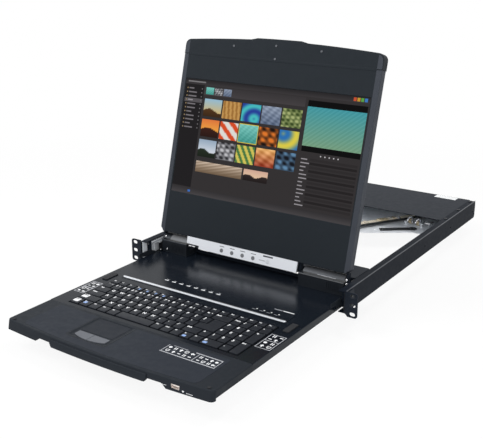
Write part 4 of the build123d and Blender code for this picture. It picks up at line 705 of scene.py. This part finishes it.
# %% Lay out the bars and the side list
BAR_CELLS = (1, 4)
colour_patch(0, 1, 0, 1, plain(50, 47, 48))
colour_patch(0, 1, 0.955, 1, blend_up((58, 55, 57), (36, 34, 36)), 1, BAR_CELLS)
colour_patch(0, 0.115, 0.06, 0.955, plain(29, 27, 29), 1)
colour_patch(0, 1, 0, 0.055, blend_up((70, 67, 69), (48, 46, 48)), 1, BAR_CELLS)
colour_patch(0.115, 0.685, 0.872, 0.948, blend_up((66, 62, 64), (54, 51, 53)), 1, BAR_CELLS)

CHOSEN_LINE = 3
for line in range(11):
    top = 0.925 - line * 0.034
    length = 0.030 + 0.022 * abs(math.sin(2.1 * line))
    grey = 150 if line == CHOSEN_LINE else 118
    if line == CHOSEN_LINE:
        colour_patch(0.004, 0.112, top - 0.024, top + 0.010, plain(86, 83, 86), 2)
    colour_patch(0.024, 0.024 + length, top - 0.011, top, plain(grey, grey - 4, grey), 3)
    colour_patch(0.012, 0.018, top - 0.011, top, plain(150, 130, 96), 3)
    colour_patch(0.100, 0.106, top - 0.010, top, plain(110, 108, 110), 3)

# %% Lay out the small pictures
thumbnails = [
    hill((226, 180, 96), (150, 190, 214), (96, 62, 30), 0.34, 5.0),
    striped((196, 150, 84), (160, 112, 54), 9.0, 0.1),
    rings((36, 60, 150), (70, 190, 190), 0.7, 0.2, 11.0),
    rippled((90, 104, 128), (138, 150, 170), 9.0, 0.10),
    mottled((52, 70, 30), (170, 180, 120), 13.0, 0.8),
    hill((250, 190, 70), (224, 120, 60), (66, 32, 24), 0.42, 4.0),
    striped((214, 76, 34), (224, 222, 216), 3.0, 0.9),
    rippled((66, 150, 140), (124, 200, 190), 12.0, 0.06),
    mottled((24, 14, 10), (226, 120, 42), 8.0, 2.2),
    rings((222, 204, 70), (40, 110, 180), 0.2, 0.8, 7.0),
    hill((236, 236, 240), (150, 170, 190), (40, 52, 38), 0.38, 6.0),
    mottled((40, 40, 44), (196, 196, 200), 11.0, 1.5),
    striped((70, 120, 66), (210, 196, 90), 6.0, 0.5),
    rippled((150, 60, 40), (236, 180, 110), 6.0, 0.12),
    mottled((16, 18, 26), (96, 136, 170), 9.0, 3.1),
]
COLUMNS = 5
GRID_LEFT = 0.128
THUMB_WIDTH = 0.104
THUMB_HEIGHT = 0.150
CHOSEN_PICTURE = 7
for index, picture in enumerate(thumbnails):
    row, column = divmod(index, COLUMNS)
    x0 = GRID_LEFT + column * 0.1115
    y1 = 0.842 - row * 0.176
    if index == CHOSEN_PICTURE:
        colour_patch(x0 - 0.003, x0 + THUMB_WIDTH + 0.003, y1 - THUMB_HEIGHT - 0.006, y1 + 0.006,
                     plain(214, 190, 60), 1)
    colour_patch(x0, x0 + THUMB_WIDTH, y1 - THUMB_HEIGHT, y1, picture, 2, (26, 20))
for index, shown in enumerate((CHOSEN_PICTURE, 11, 3)):
    x0 = GRID_LEFT + index * 0.052
    colour_patch(x0, x0 + 0.046, 0.880, 0.940, thumbnails[shown], 2, (14, 10))
colour_patch(GRID_LEFT, 0.40, 0.205, 0.300, rippled((110, 90, 70), (190, 170, 150), 16.0, 0.15), 2, (60, 12))
colour_patch(0.41, 0.545, 0.205, 0.300, hill((240, 210, 170), (210, 170, 150), (50, 40, 40), 0.45, 9.0), 2, (30, 14))

# %% Lay out the preview and its table
colour_patch(0.700, 0.995, 0.52, 0.930, plain(4, 4, 5), 1)
colour_patch(0.700, 0.995, 0.565, 0.880, rippled((118, 158, 128), (66, 152, 162), 42.0, 0.045), 2, (90, 56))
for line in range(13):
    top = 0.474 - line * 0.031
    ground = plain(34, 31, 32) if line % 2 else plain(44, 41, 42)
    colour_patch(0.752, 0.990, top - 0.024, top - 0.004, ground, 2)
    end = 0.738 + 0.012 * math.sin(1.7 * line)
    colour_patch(0.706, end, top - 0.019, top - 0.010, plain(150, 146, 150), 3)
for index, colour in enumerate(((196, 80, 48), (196, 150, 50), (90, 160, 70), (60, 120, 190))):
    colour_patch(0.920 + index * 0.018, 0.934 + index * 0.018, 0.962, 0.990, plain(*colour), 3)
for index in range(5):
    colour_patch(0.80 + index * 0.022, 0.806 + index * 0.022, 0.492, 0.502, plain(190, 188, 190), 3)
colour_patch(0.014, 0.12, 0.972, 0.984, plain(120, 118, 120), 3)
colour_patch(0.10, 0.115, 0.018, 0.036, plain(60, 110, 190), 3)

# %% The glowing page
GLOW = 0.95
page_tree, page_shader = base_finish("screen_picture", (0.001, 0.001, 0.001), 0.22, 0.04)
picture = put_node(page_tree, "Attribute", attribute_name="picture")
page_tree.links.new(picture.outputs["Color"], page_shader.inputs["Emission Color"])
page_shader.inputs["Emission Strength"].default_value = GLOW
vary_roughness(page_tree, page_shader, 0.20, 0.26, 30.0)


def to_linear(c):
    """The light value of a colour as seen: a straight foot, then the power 2.4."""
    return np.where(c <= 0.04045, c / 12.92, ((c + 0.055) / 1.055) ** 2.4)


page = mesh_piece("screen_page", join([(p, f) for p, f, c in patches]), "display", "screen_picture", smooth=False)
colours = np.concatenate([c for p, f, c in patches])
attribute = page.data.color_attributes.new("picture", "FLOAT_COLOR", "POINT")
attribute.data.foreach_set("color", np.column_stack([to_linear(colours), np.ones(len(colours))]).ravel())
print("screen patches", len(patches), "points", len(colours))

# %% [markdown]
# ## Marks on the deck
#
# Beside the keys lie small printed panels of signs, and behind them a row of lamp marks. They are drawn here as
# plain frames, arrows and bars, thin plates of print a hair above the deck, in no maker's design. Each mark is
# drawn flat at height 0, in millimetres, and `print_marks` lifts them all to their face.
# %% Plain marks
def bar(x, y, width, height):
    """A small filled rectangle, by its middle."""
    x0, x1 = (x - width / 2) * MM, (x + width / 2) * MM
    y0, y1 = (y - height / 2) * MM, (y + height / 2) * MM
    return np.array([(x0, y0, 0.0), (x1, y0, 0.0), (x1, y1, 0.0), (x0, y1, 0.0)]), [[0, 1, 2, 3]]


def frame_bars(x, y, width, height, line):
    """Four bars round a rectangle."""
    return [bar(x, y + height / 2, width + line, line), bar(x, y - height / 2, width + line, line),
            bar(x - width / 2, y, line, height - line), bar(x + width / 2, y, line, height - line)]


def disc(x, y, radius, steps=20):
    """A small filled circle."""
    turn = np.linspace(0, 2 * math.pi, steps, endpoint=False)
    points = np.stack([(x + radius * np.cos(turn)) * MM, (y + radius * np.sin(turn)) * MM, np.zeros(steps)], axis=1)
    return points, [list(range(steps))]


def arrow(x, y, size, turn):
    """A filled triangle with a short stem behind it, turned by quarter turns."""
    shape = np.array([(0.5, 0), (0, 0.5), (0, 0.18), (-0.5, 0.18), (-0.5, -0.18), (0, -0.18), (0, -0.5)]) * size
    c, s = math.cos(turn * math.pi / 2), math.sin(turn * math.pi / 2)
    flat = np.column_stack([shape[:, 0] * c - shape[:, 1] * s + x, shape[:, 0] * s + shape[:, 1] * c + y]) * MM
    return np.column_stack([flat, np.zeros(len(flat))]), [list(range(len(flat)))]


def sign(kind, x, y, size):
    """One plain sign: a box with a foot, an arrow up or back, a dot, two bars or a dash."""
    if kind == "box":
        foot = bar(x, y - size * 0.38, size * 0.5, size * 0.13)
        return frame_bars(x, y + size * 0.1, size * 0.7, size * 0.5, size * 0.13) + [foot]
    if kind == "up":
        return [arrow(x, y, size * 0.9, 1)]
    if kind == "back":
        return [arrow(x, y, size * 0.9, 2)]
    if kind == "dot":
        return [disc(x, y, size * 0.34)]
    if kind == "bars":
        return [bar(x - size * 0.2, y, size * 0.2, size * 0.8), bar(x + size * 0.2, y, size * 0.2, size * 0.8)]
    return [bar(x, y, size * 0.7, size * 0.26)]


def sign_rows(*rows):
    """Signs in rows: each row is its place along, its size, and pairs of a kind and a place across."""
    return [mark for y, size, row in rows for kind, x in row for mark in sign(kind, x, y, size)]


def print_marks(name, marks, body, ink, height=0.0):
    """One flat mesh from many marks, lifted to a height in metres."""
    points, faces = join(marks)
    mesh_piece(name, (points + np.array([0.0, 0.0, height]), faces), body, ink, smooth=False)


# %% Print the panels beside the keys
DECK_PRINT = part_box("tray_pan")[1].z + PRINT_LIFT
side_frames = []
for x, y, width, height, line in ((-186.5, -165.0, 20.5, 24.0, 1.3), (-186.5, -190.0, 20.5, 23.0, 1.3),
                                  (187.0, -164.0, 25.5, 21.5, 1.2), (187.0, -188.5, 25.5, 26.0, 1.2)):
    side_frames += frame_bars(x, y, width, height, line)
print_marks("side_frames", side_frames, "tray", "legend_grey", DECK_PRINT)
side_left = sign_rows(
    (-160.0, 9.0, [("bars", -190.5), ("dot", -181.0)]), (-170.5, 7.0, [("dash", -191.0), ("up", -181.5)]),
    (-184.0, 8.5, [("box", -191.0), ("dash", -181.5)]), (-195.5, 7.5, [("dot", -191.0), ("back", -181.5)]))
print_marks("side_signs_left", side_left, "tray", "legend_ink", DECK_PRINT)
side_right = sign_rows(
    (-158.5, 8.5, [("bars", 182.0), ("dash", 194.5)]), (-169.0, 8.0, [("dash", 180.5), ("up", 190.5)]),
    (-182.5, 8.5, [("dot", 180.5), ("bars", 193.0)]), (-194.0, 8.5, [("up", 182.0), ("box", 193.5)]))
print_marks("side_signs_right", side_right, "tray", "legend_ink", DECK_PRINT)

# %% Print the panel on the palm rest
PALM_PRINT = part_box("palm_rest")[1].z + PRINT_LIFT
palm_frame = [bar(116.25, -291.0, 99.0, 1.9), bar(68.1, -279.5, 1.1, 23.0), bar(164.4, -279.5, 1.1, 23.0),
              bar(124.0, -279.5, 1.1, 23.0), bar(89.0, -267.6, 26.0, 1.0), bar(140.5, -267.6, 48.0, 2.0)]
print_marks("palm_frame", palm_frame, "tray", "legend_grey", PALM_PRINT)
palm_signs = sign_rows(
    (-274.0, 8.0, [("dot", 74.0), ("bars", 84.0), ("up", 94.0), ("box", 104.0), ("back", 115.0)]),
    (-284.0, 7.5, [("box", 76.0), ("up", 87.0), ("dash", 97.0), ("bars", 106.5), ("dash", 116.0)]),
    (-275.0, 7.5, [("bars", 131.0), ("dash", 140.5), ("up", 150.0), ("dot", 158.5)]),
    (-284.5, 7.5, [("dash", 131.5), ("box", 141.0), ("bars", 150.5), ("back", 158.5)]))
print_marks("palm_signs", palm_signs, "tray", "legend_ink", PALM_PRINT)

# %% Print the lamp marks
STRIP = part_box("indicator_strip")[1].z
lamp_marks = []
for step in range(8):
    x = -93.6 + step * 16.0
    lamp_marks += [bar(x, -77.7, 8.0, 2.3), bar(x + 0.6, -73.8, 4.5, 0.8)]
lamp_marks.append(bar(155.2, -73.2, 20.5, 2.4))
print_marks("lamp_marks", lamp_marks, "tray", "legend_ink", STRIP + PRINT_LIFT)
faint_marks = [bar(100.5 + step * 14.0, -92.6, 6.5, 0.8) for step in range(4)]
faint_marks.append(bar(136.0, -73.6, 15.5, 1.6))
print_marks("lamp_captions", faint_marks, "tray", "legend_grey", STRIP + PRINT_LIFT)
print("deck marks printed")

# %% [markdown]
# ## Lamps, label and small trim
#
# The strip behind the keys has four small lamps, each a low dome of white resin. The display's foot strip has
# small dark captions, printed flat on its face. The label on the rear cover is bare: a thin plate with soft
# edges, since even paper has an edge that catches light.
# %% Lamps on the strip
layered("lamp_lens", (0.86, 0.88, 0.88), 0.4, 0.0, (0.05, 0.8), (0.16, 0.26, 0.8))
DOME_SHARE = 0.92


def dome(cx, cy, z, radius, height, steps=16, rings=5):
    """A low cap: circles whose radius shrinks as a cosine while the height grows as a sine."""
    turn = np.linspace(0, 2 * math.pi, steps, endpoint=False)
    rows = []
    for a in np.linspace(0, math.pi / 2 * DOME_SHARE, rings):
        r = radius * math.cos(a)
        level = np.full(steps, z + height * math.sin(a))
        rows.append(np.stack([cx + r * np.cos(turn), cy + r * np.sin(turn), level], axis=1))
    return np.concatenate(rows), ring_faces(rings, steps)


lamps = [dome((104.5 + 14.0 * n) * MM, -89.0 * MM, STRIP - 0.15 * MM, 1.4 * MM, 0.5 * MM) for n in range(4)]
mesh_piece("indicator_lamps", join(lamps), "tray", "lamp_lens")
print("lamps", len(lamps))

# %% Label on the rear cover
cover_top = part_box("rear_cover")[1].z
label = soft_block(131.0 * MM, 180.0 * MM, 594.0 * MM, 613.5 * MM, cover_top, cover_top + 0.15 * MM, 1.0 * MM,
                   0.08 * MM)
mesh_piece("bare_label", label, "chassis", "label_paper")
print("cover top", round(cover_top, 4))

# %% Captions, notch tag and power ring on the display's foot
STRIP_FACE = -15.7 * MM - PRINT_LIFT
NOTCH_FACE = -12.73 * MM


def print_front(name, marks, ink, face):
    """Flat marks drawn as (across, up), printed on a face of the display that looks to the front."""
    print_marks(name, [facing_front(mark, face) for mark in marks], "display", ink)


def ring_mark(x, y, inner, outer, steps=28):
    """A flat ring by its middle, in millimetres."""
    turn = np.linspace(0, 2 * math.pi, steps, endpoint=False)
    circle = np.stack([np.cos(turn), np.sin(turn), np.zeros(steps)], axis=1)
    points = np.concatenate([circle * inner, circle * outer]) + np.array([x, y, 0.0])
    return points * MM, ring_faces(2, steps, closed_ends=False)


captions = [bar(x, 14.9, 10.5, 1.1) for x in (-56.7, -33.6, -10.5, 12.6)]
captions.append(bar(43.5, 15.8, 20.6, 2.6))
print_front("strip_captions", captions, "legend_dark", STRIP_FACE)
print_front("strip_pale_caption", [bar(32.1, 7.2, 12.8, 1.8)], "legend_pale_and_highlight", STRIP_FACE)
print_front("notch_tag_marks", [bar(-130.6, 2.0, 6.0, 2.0), bar(-122.2, 2.0, 6.0, 2.0)], "legend_ink", NOTCH_FACE)
print_front("power_ring", [ring_mark(43.4, 7.3, 2.9, 3.7)], "legend_grey", STRIP_FACE)
strip_end = soft_block_mm(-137.2, -130.5, 5.9, 19.3, 14.7, 15.68, 0.6, 0.2)
mesh_piece("strip_left_end", facing_front(strip_end), "display", "brushed_strip")
print("foot strip printed")

# %% [markdown]
# ## The cap's face
#
# The cap closes the display's upper edge. On its front the side trims run on to the top, so two slim plates of the
# trim's colour lie on it, and a flush strip of the bezel's colour closes the seam between cap and bezel.
# %% Dress the cap
CAP_FRONT = -16.05 * MM
TRIM_END = np.array([(193.9, 360.0, 0.0), (203.0, 360.0, 0.0), (203.0, 372.0, 0.0), (201.6, 378.0, 0.0),
                     (198.4, 382.0, 0.0), (193.9, 384.0, 0.0)]) * MM
for side, name in ((1, "cap_trim_right"), (-1, "cap_trim_left")):
    corners = (TRIM_END * np.array([side, 1, 1]))[::side]
    print_front(name, [(corners, [list(range(len(corners)))])], "trim_plastic_and_highlight", CAP_FRONT)
seam_strip = soft_block_mm(-193.5, 193.5, 356.6, 361.4, 15.6, 16.06, 0.4, 0.3)
mesh_piece("cap_seam_strip", facing_front(seam_strip), "display", "bezel_plastic")

# %% [markdown]
# ## Hinge covers
#
# Over each hinge block lies a thin rolled cover that hides the gap under the display. It could be a flat plate on
# the display, but that plate would strike the block when the display folds. A roll about the hinge axis clears
# everything: it is an arc swept across, with a thickness of its own, and it stays on the tray.
# %% Roll the covers
END_LENGTH = 0.4
END_DRAWN_IN = 0.04


def rolled_cover(x0, x1, radius, thick, start, end, steps=18):
    """A part of a tube about the hinge axis: outer arc one way, inner arc back, carried from x0 to x1 and drawn
    in a little at both ends. Angles in degrees are measured from straight ahead, up over the axis."""
    angles = np.radians(np.linspace(start, end, steps))
    outer = np.stack([-radius * np.cos(angles), radius * np.sin(angles)], axis=1)
    inner = np.stack([-(radius - thick) * np.cos(angles), (radius - thick) * np.sin(angles)], axis=1)[::-1]
    outline = np.concatenate([outer, inner])
    middle = outline.mean(0)
    rows = []
    for x, drawn_in in ((x0, END_DRAWN_IN), (x0 + END_LENGTH, 0.0), (x1 - END_LENGTH, 0.0), (x1, END_DRAWN_IN)):
        rows.append(np.column_stack([np.full(len(outline), x), middle + (outline - middle) * (1 - drawn_in)]))
    return np.concatenate(rows) * MM + HINGE, ring_faces(len(rows), len(outline))


COVER_THICK = 0.6
for name, ends, radius, start, finish in (
        ("hinge_cover_left", (-177.0, -138.2), 16.4, 32.0, "foot_plastic_and_highlight"),
        ("hinge_cover_left_end", (-195.4, -177.4), 16.2, 32.0, "block_plastic"),
        ("hinge_cover_right", (116.0, 195.4), 16.4, 35.0, "hinge_plastic")):
    mesh_piece(name, rolled_cover(*ends, radius, COVER_THICK, start, 100.0), "tray", finish)
# The thin pale strip along the right cover is a painted highlight of the block's edge beneath it.
mesh_piece("hinge_cover_highlight_line", rolled_cover(145.0, 181.0, 16.5, 0.2, 36.0, 38.5, 4), "tray", "legend_pale_and_highlight")
print("covers rolled")

# %% Painted highlights on the blocks' edges, and the slide's end
slide_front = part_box("inner_slide_left")[0].y
right_block_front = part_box("hinge_block_right")[0].y
EDGE_LOW, EDGE_HIGH = 17.3, 18.4
for name, sizes, face, finish in (
        ("slide_end_tab_left", (-212.2, -204.4, -9.4, 11.6, 0.0, 0.6, 0.8, 0.15), slide_front, "zinc"),
        # The block edges are thin strips of a lighter plastic along the blocks' top front edges: painted highlights.
        ("block_edge_highlight_right", (108.5, 195.5, EDGE_LOW, EDGE_HIGH, 0.0, 0.3, 0.3, 0.1), right_block_front,
         "foot_plastic_and_highlight"),
        ("block_edge_highlight_left", (-195.5, -138.0, EDGE_LOW, EDGE_HIGH, 0.0, 0.3, 0.3, 0.1), right_block_front,
         "trim_plastic_and_highlight")):
    mesh_piece(name, stood_up(soft_block_mm(*sizes), face), "tray", finish)
print("slide front", round(slide_front, 4), "block front", round(right_block_front, 4))

# %% [markdown]
# ## Screws on the arms and brackets
#
# Small pan heads show where the arms and brackets are joined. Each head is a profile turned about its axis: a low
# dome with a small dip for the driver, which is all that shows at this size.
# %% Pan heads
PAN_HEAD = [(1.9, 0.0), (1.9, 0.5), (1.75, 0.85), (1.35, 1.15), (0.8, 1.3), (0.7, 0.7), (0.15, 0.6)]
FRONT = (0, -1, 0)
UP = (0, 0, 1)


def turned_profile(place, axis, profile, steps=20):
    """A profile of (radius, height) pairs turned about an axis through a place, all in millimetres."""
    axis = np.array(axis, float) / np.linalg.norm(axis)
    side = np.cross(axis, [0.0, 0.0, 1.0] if abs(axis[2]) < 0.9 else [1.0, 0.0, 0.0])
    side /= np.linalg.norm(side)
    other = np.cross(axis, side)
    turn = np.linspace(0, 2 * math.pi, steps, endpoint=False)
    rows = []
    for radius, height in profile:
        ring = np.outer(np.cos(turn), side) + np.outer(np.sin(turn), other)
        rows.append(np.array(place) + ring * radius + axis * height)
    return np.concatenate(rows) * MM, ring_faces(len(rows), steps)


def pan_head(place, axis, size):
    """A low round head with a small driver dip, its size a share of the usual one."""
    return turned_profile(place, axis, [(r * size, h * size) for r, h in PAN_HEAD])


block_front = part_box("hinge_block_left")[0].y * 1000
slope = math.radians(50.0)
left_heads = [pan_head((-199.0, 33.0, -3.0), FRONT, 0.8), pan_head((-183.4, block_front, 1.6), FRONT, 0.8),
              pan_head((-189.2, 39.1, 24.8), (0, -math.cos(slope), math.sin(slope)), 0.9)]
mesh_piece("hinge_screws_left", join(left_heads), "tray", "bright_steel")
right_heads = [pan_head((198.4, 41.3, z), FRONT, 1.2) for z in (22.4, 15.0)]
mesh_piece("hinge_screws_right", join(right_heads), "display", "bright_steel")
print("block front", round(block_front, 2))

# %% [markdown]
# ## Signs beside the front socket
#
# The socket sits in the moulding's bowed front. Its two signs are laid on that bow: every mark is cut into narrow
# bars, and each bar takes its depth from the moulding under it, found with a ray from the front.
# %% Lay signs on the bowed front
moulding = frame["nodes"]["front_moulding"]
RAY_START = -0.6
USUAL_DEPTH = -345.0
INK_PROUD = 0.05


def depth_at(x, z):
    """Where a ray from the front first meets the moulding, in millimetres along Y."""
    hit, place, normal, face = moulding.ray_cast(Vector((x * MM, RAY_START, z * MM)), Vector((0, 1, 0)))
    return place.y * 1000 if hit else USUAL_DEPTH


def front_mark(x0, x1, z0, z1):
    """A mark on the bow: a strip of quads, a millimetre wide or less, whose columns follow the surface."""
    columns = max(2, int(x1 - x0) + 1)
    across = np.linspace(x0, x1, columns)
    depth = np.array([depth_at(x, (z0 + z1) / 2) for x in across]) - INK_PROUD
    points = np.concatenate([np.column_stack([across, depth, np.full(columns, z)]) for z in (z0, z1)])
    faces = [[k, k + 1, columns + k + 1, columns + k] for k in range(columns - 1)]
    return points * MM, faces


socket_signs = [front_mark(*place) for place in (
    (120.4, 122.2, -17.0, -15.9), (122.9, 124.7, -17.0, -15.9), (125.4, 127.0, -17.0, -15.9),
    (154.2, 155.8, -21.4, -16.3), (153.2, 156.8, -18.0, -17.2))]
for start in (160.3, 162.5, 164.7, 166.9, 169.1):
    socket_signs.append(front_mark(start, start + 1.7, -19.6, -18.5))
print_marks("socket_signs", socket_signs, "tray", "legend_ink")
print("socket signs", len(socket_signs), "depth", round(depth_at(155, -19), 2))

# %% [markdown]
# ## Clips and the strap beside the cable arm
#
# The leads are held by clips on the rear link, and on the steel plate beside it sit two bright glands, each on a
# turned foot, and a black strap that ends in an eye. A clip could be a bent wire, but at this size a soft block
# swept along the link is what shows. A gland is a round section and the strap a flat band, each swept along a
# smooth line through a few places.
# %% Sweep a band or a gland
def swept(path, outline):
    """Carry an outline (pairs: across, up, in millimetres) along a path of points in millimetres."""
    path = np.array(path, float)
    step = np.gradient(path, axis=0)
    step /= np.linalg.norm(step, axis=1)[:, None]
    side = np.cross(step, [0.0, 0.0, 1.0])
    side /= np.linalg.norm(side, axis=1)[:, None]
    up = np.cross(side, step)
    across, rise = np.array(outline, float).T[:, None, :, None]
    rows = path[:, None] + across * side[:, None] + rise * up[:, None]
    return rows.reshape(-1, 3) * MM, ring_faces(len(path), len(outline))


def curve_through(points, steps=24):
    """A smooth line through some points: each coordinate a cubic run between them, slopes from neighbours."""
    knots = np.array(points, float)
    slopes = np.gradient(knots, axis=0)
    t = np.linspace(0, len(knots) - 1, steps)
    k = np.clip(t.astype(int), 0, len(knots) - 2)
    u = (t - k)[:, None]
    return ((1 + 2 * u) * (1 - u) ** 2 * knots[k] + u * (1 - u) ** 2 * slopes[k]
            + u ** 2 * (3 - 2 * u) * knots[k + 1] + u ** 2 * (u - 1) * slopes[k + 1])


def round_outline(radius, steps=10):
    """Points round a circle."""
    turn = np.linspace(0, 2 * math.pi, steps, endpoint=False)
    return np.stack([radius * np.cos(turn), radius * np.sin(turn)], axis=1)


# %% Clips on the rear link
REAR_PIVOT = np.array([130.0, 560.0])
ELBOW = np.array([-4.513, 337.5])
LEADS_MIDDLE = -9.8
CLIP_OUTLINE = rounded_outline(-6.2, 6.2, -2.9, 3.1, 1.4)


def clip_on_link(first, last):
    """A clip round the leads between two shares of the way from the rear link's pivot to the elbow."""
    path = [(*(REAR_PIVOT + (ELBOW - REAR_PIVOT) * share), LEADS_MIDDLE) for share in np.linspace(first, last, 6)]
    return swept(path, CLIP_OUTLINE)


for name, shares, finish in (("lead_clips_brass", ((0.405, 0.495), (0.335, 0.350)), "yellow_plate"),
                             ("lead_clips_bright", ((0.286, 0.312), (0.362, 0.372)), "bright_steel")):
    mesh_piece(name, join([clip_on_link(*pair) for pair in shares]), "arm_rear_link", finish)
print("clips at", LEADS_MIDDLE)

# %% Glands, strap and screws on the rear plate
PLATE_TOP = -18.2
FOOT_PROFILE = [(5.6, 0.0), (5.6, 3.4), (4.9, 4.3), (3.4, 4.6), (3.2, 7.6), (2.4, 8.2)]
EYE_PROFILE = [(9.0, 0.0), (9.0, 1.6), (8.4, 1.9), (3.8, 1.9), (2.8, 1.5), (2.8, 0.6)]
for name, loop_points in (
        ("lead_gland_first", [(110.0, 498.0, -15.6), (112.5, 502.5, -9.0), (117.0, 505.5, -6.6),
                              (121.5, 501.5, -9.0), (123.0, 496.0, -15.6)]),
        ("lead_gland_second", [(130.5, 492.5, -15.6), (133.0, 497.0, -9.0), (137.0, 500.0, -6.6),
                               (141.5, 496.0, -9.0), (143.0, 490.5, -15.6)])):
    loop = curve_through(loop_points)
    mesh_piece(name, swept(loop, round_outline(2.6)), "chassis", "bright_steel")
    foot = loop[len(loop) // 2] * np.array([1, 1, 0]) + np.array([0.0, -3.0, PLATE_TOP])
    mesh_piece(name + "_foot", turned_profile(foot, UP, FOOT_PROFILE), "chassis", "yellow_plate")

STRAP_WIDTH, STRAP_THICK = 15.0, 1.8
STRAP_CORNER = STRAP_THICK * 0.45
band_outline = rounded_outline(-STRAP_WIDTH / 2, STRAP_WIDTH / 2, -STRAP_THICK / 2, STRAP_THICK / 2, STRAP_CORNER, 3)
strap_path = curve_through([(82.0, 420.0, PLATE_TOP + 0.95), (94.0, 428.6, PLATE_TOP + 1.05),
                            (109.9, 441.4, PLATE_TOP + 0.95), (125.0, 453.2, PLATE_TOP + 1.05),
                            (134.0, 460.5, PLATE_TOP + 0.95)])
strap_eye = turned_profile((138.0, 463.6, PLATE_TOP), UP, EYE_PROFILE)
mesh_piece("plate_strap", join([swept(strap_path, band_outline), strap_eye]), "chassis", "lead_black")
plate_heads = [pan_head((87.0, 423.6, PLATE_TOP + 1.7), UP, 0.45), pan_head((73.5, 415.6, PLATE_TOP), UP, 1.3)]
mesh_piece("plate_screws", join(plate_heads), "chassis", "label_paper")
print_marks("plate_mark", frame_bars(149.1, 520.9, 18.0, 18.0, 3.0), "chassis", "legend_pale_and_highlight",
            PLATE_TOP * MM + PRINT_LIFT)
print("cable arm dressed")

# %% [markdown]
# ## Bent edges and their painted highlight
#
# Folded sheet is never quite sharp: the outside of a bend is a small radius, and a line of light runs along it.
# The model's edges are sharp. A narrow angle of a much lighter coat laid over each long edge paints that line:
# a painted highlight. It is a swept section: two short legs and a rounded corner.
# %% Lay the painted highlights along the bends
BEND_PROUD = 0.12
LEG = 1.2


def edge_highlight_line(name, start, end, leg_a, leg_b, body):
    """A narrow angle over one edge from start to end, in a lighter coat that paints a highlight: leg_a and leg_b
    point along its two faces.
    """
    a = np.array(leg_a, float)
    b = np.array(leg_b, float)
    section = np.array([a * LEG, np.zeros(3), b * LEG, b * LEG - a * BEND_PROUD, -(a + b) * BEND_PROUD * 0.8,
                        a * LEG - b * BEND_PROUD])
    rows = [np.array(place, float) + section for place in (start, end)]
    mesh_piece(name, (np.concatenate(rows) * MM, ring_faces(2, len(section))), body, "edge_painted_highlight", smooth=False)


channel_side, channel_back, channel_top = np.array(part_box("side_channel_right")[1]) * 1000
for name, side, ends in (("channel_edge_highlight_right", 1, (2.0, 615.5)), ("channel_edge_highlight_left", -1, (615.5, 2.0))):
    start, end = [(side * channel_side, y, channel_top) for y in ends]
    edge_highlight_line(name, start, end, (-side, 0, 0), (0, 0, -1), "chassis")
print("bends at", round(channel_side, 1), round(channel_top, 1), "channel to", round(channel_back, 1))

# %% [markdown]
# ## Floor, world and lamps
#
# The photograph is a product picture on white: soft light from everywhere, a stronger one from the left and
# above. The floor and the world are white to the camera and to mirrors, and only softly bright as light
# sources, so black plastic stays black.
# %% Floor
SHADOW_HIDDEN = 0.88
FLOOR_DROP = 0.030
FLOOR_REACH = 6.0


def seen_directly(tree):
    """1 for rays from the camera, off mirrors or through clear stuff, and 0 for soft light."""
    path = put_node(tree, "LightPath").outputs
    first = put_node(tree, "Math", {0: path["Is Camera Ray"], 1: path["Is Glossy Ray"]}, operation="MAXIMUM")
    either = put_node(tree, "Math", {0: first.outputs[0], 1: path["Is Transmission Ray"]}, operation="MAXIMUM")
    return either.outputs[0]


def floor_finish():
    """White paper: near the drawer it keeps a share of the real shadow, and further out it is all white."""
    tree, shader = base_finish("floor", (0.93, 0.93, 0.93), 0.9, 0.1)
    away = put_node(tree, "VectorMath", {0: put_node(tree, "TexCoord").outputs["Object"]}, operation="LENGTH")
    white = put_node(tree, "MapRange", {"Value": away.outputs["Value"], "From Min": 0.7, "From Max": 1.5,
                                        "To Min": SHADOW_HIDDEN})
    share = put_node(tree, "Math", {0: seen_directly(tree), 1: white.outputs["Result"]}, operation="MULTIPLY")
    glow = put_node(tree, "Emission").outputs[0]
    mix = put_node(tree, "MixShader", {"Fac": share.outputs[0], 1: shader.outputs[0], 2: glow})
    tree.links.new(mix.outputs[0], tree.nodes["Material Output"].inputs["Surface"])


floor_finish()
floor_z = cad_bounds[0][2] - FLOOR_DROP
floor_corners = [(x * FLOOR_REACH, y * FLOOR_REACH, floor_z) for x, y in ((-1, -1), (1, -1), (1, 1), (-1, 1))]
floor_mesh = bpy.data.meshes.new("floor")
floor_mesh.from_pydata(floor_corners, [], [(0, 1, 2, 3)])
floor_mesh.materials.append(finishes["floor"])
floor = bpy.data.objects.new("floor", floor_mesh)
bpy.context.scene.collection.objects.link(floor)
print("floor at", round(floor_z, 4))

# %% World and lamps
SOFT_LIGHT = 0.55


def make_world():
    """A white surround for camera and mirrors, and a softer one as a light."""
    world = bpy.data.worlds.new("studio")
    bpy.context.scene.world = world
    world.use_nodes = True
    tree = world.node_tree
    background = tree.nodes["Background"]
    background.inputs["Color"].default_value = (1, 1, 1, 1)
    strength = put_node(tree, "MapRange", {"Value": seen_directly(tree), "To Min": SOFT_LIGHT, "To Max": 1.0})
    tree.links.new(strength.outputs["Result"], background.inputs["Strength"])


def soft_lamp(name, place, target, size, power):
    """A square lamp turned to face its target."""
    data = bpy.data.lights.new(name, "AREA")
    data.size = size
    data.energy = power
    lamp = bpy.data.objects.new(name, data)
    lamp.location = place
    lamp.rotation_euler = (Vector(target) - Vector(place)).to_track_quat("-Z", "Y").to_euler()
    bpy.context.scene.collection.objects.link(lamp)


make_world()
soft_lamp("key_lamp", (-1.2, -1.0, 1.7), (0, 0, 0.1), 1.2, 24.0)
soft_lamp("fill_lamp", (1.15, -1.45, 0.95), (0.05, 0.3, 0.0), 0.8, 12.0)
soft_lamp("back_lamp", (0.25, 0.42, 1.5), (0.1, 0.45, 0.0), 0.5, 7.0)
bpy.context.scene.view_settings.view_transform = "Standard"
print("lamps set")
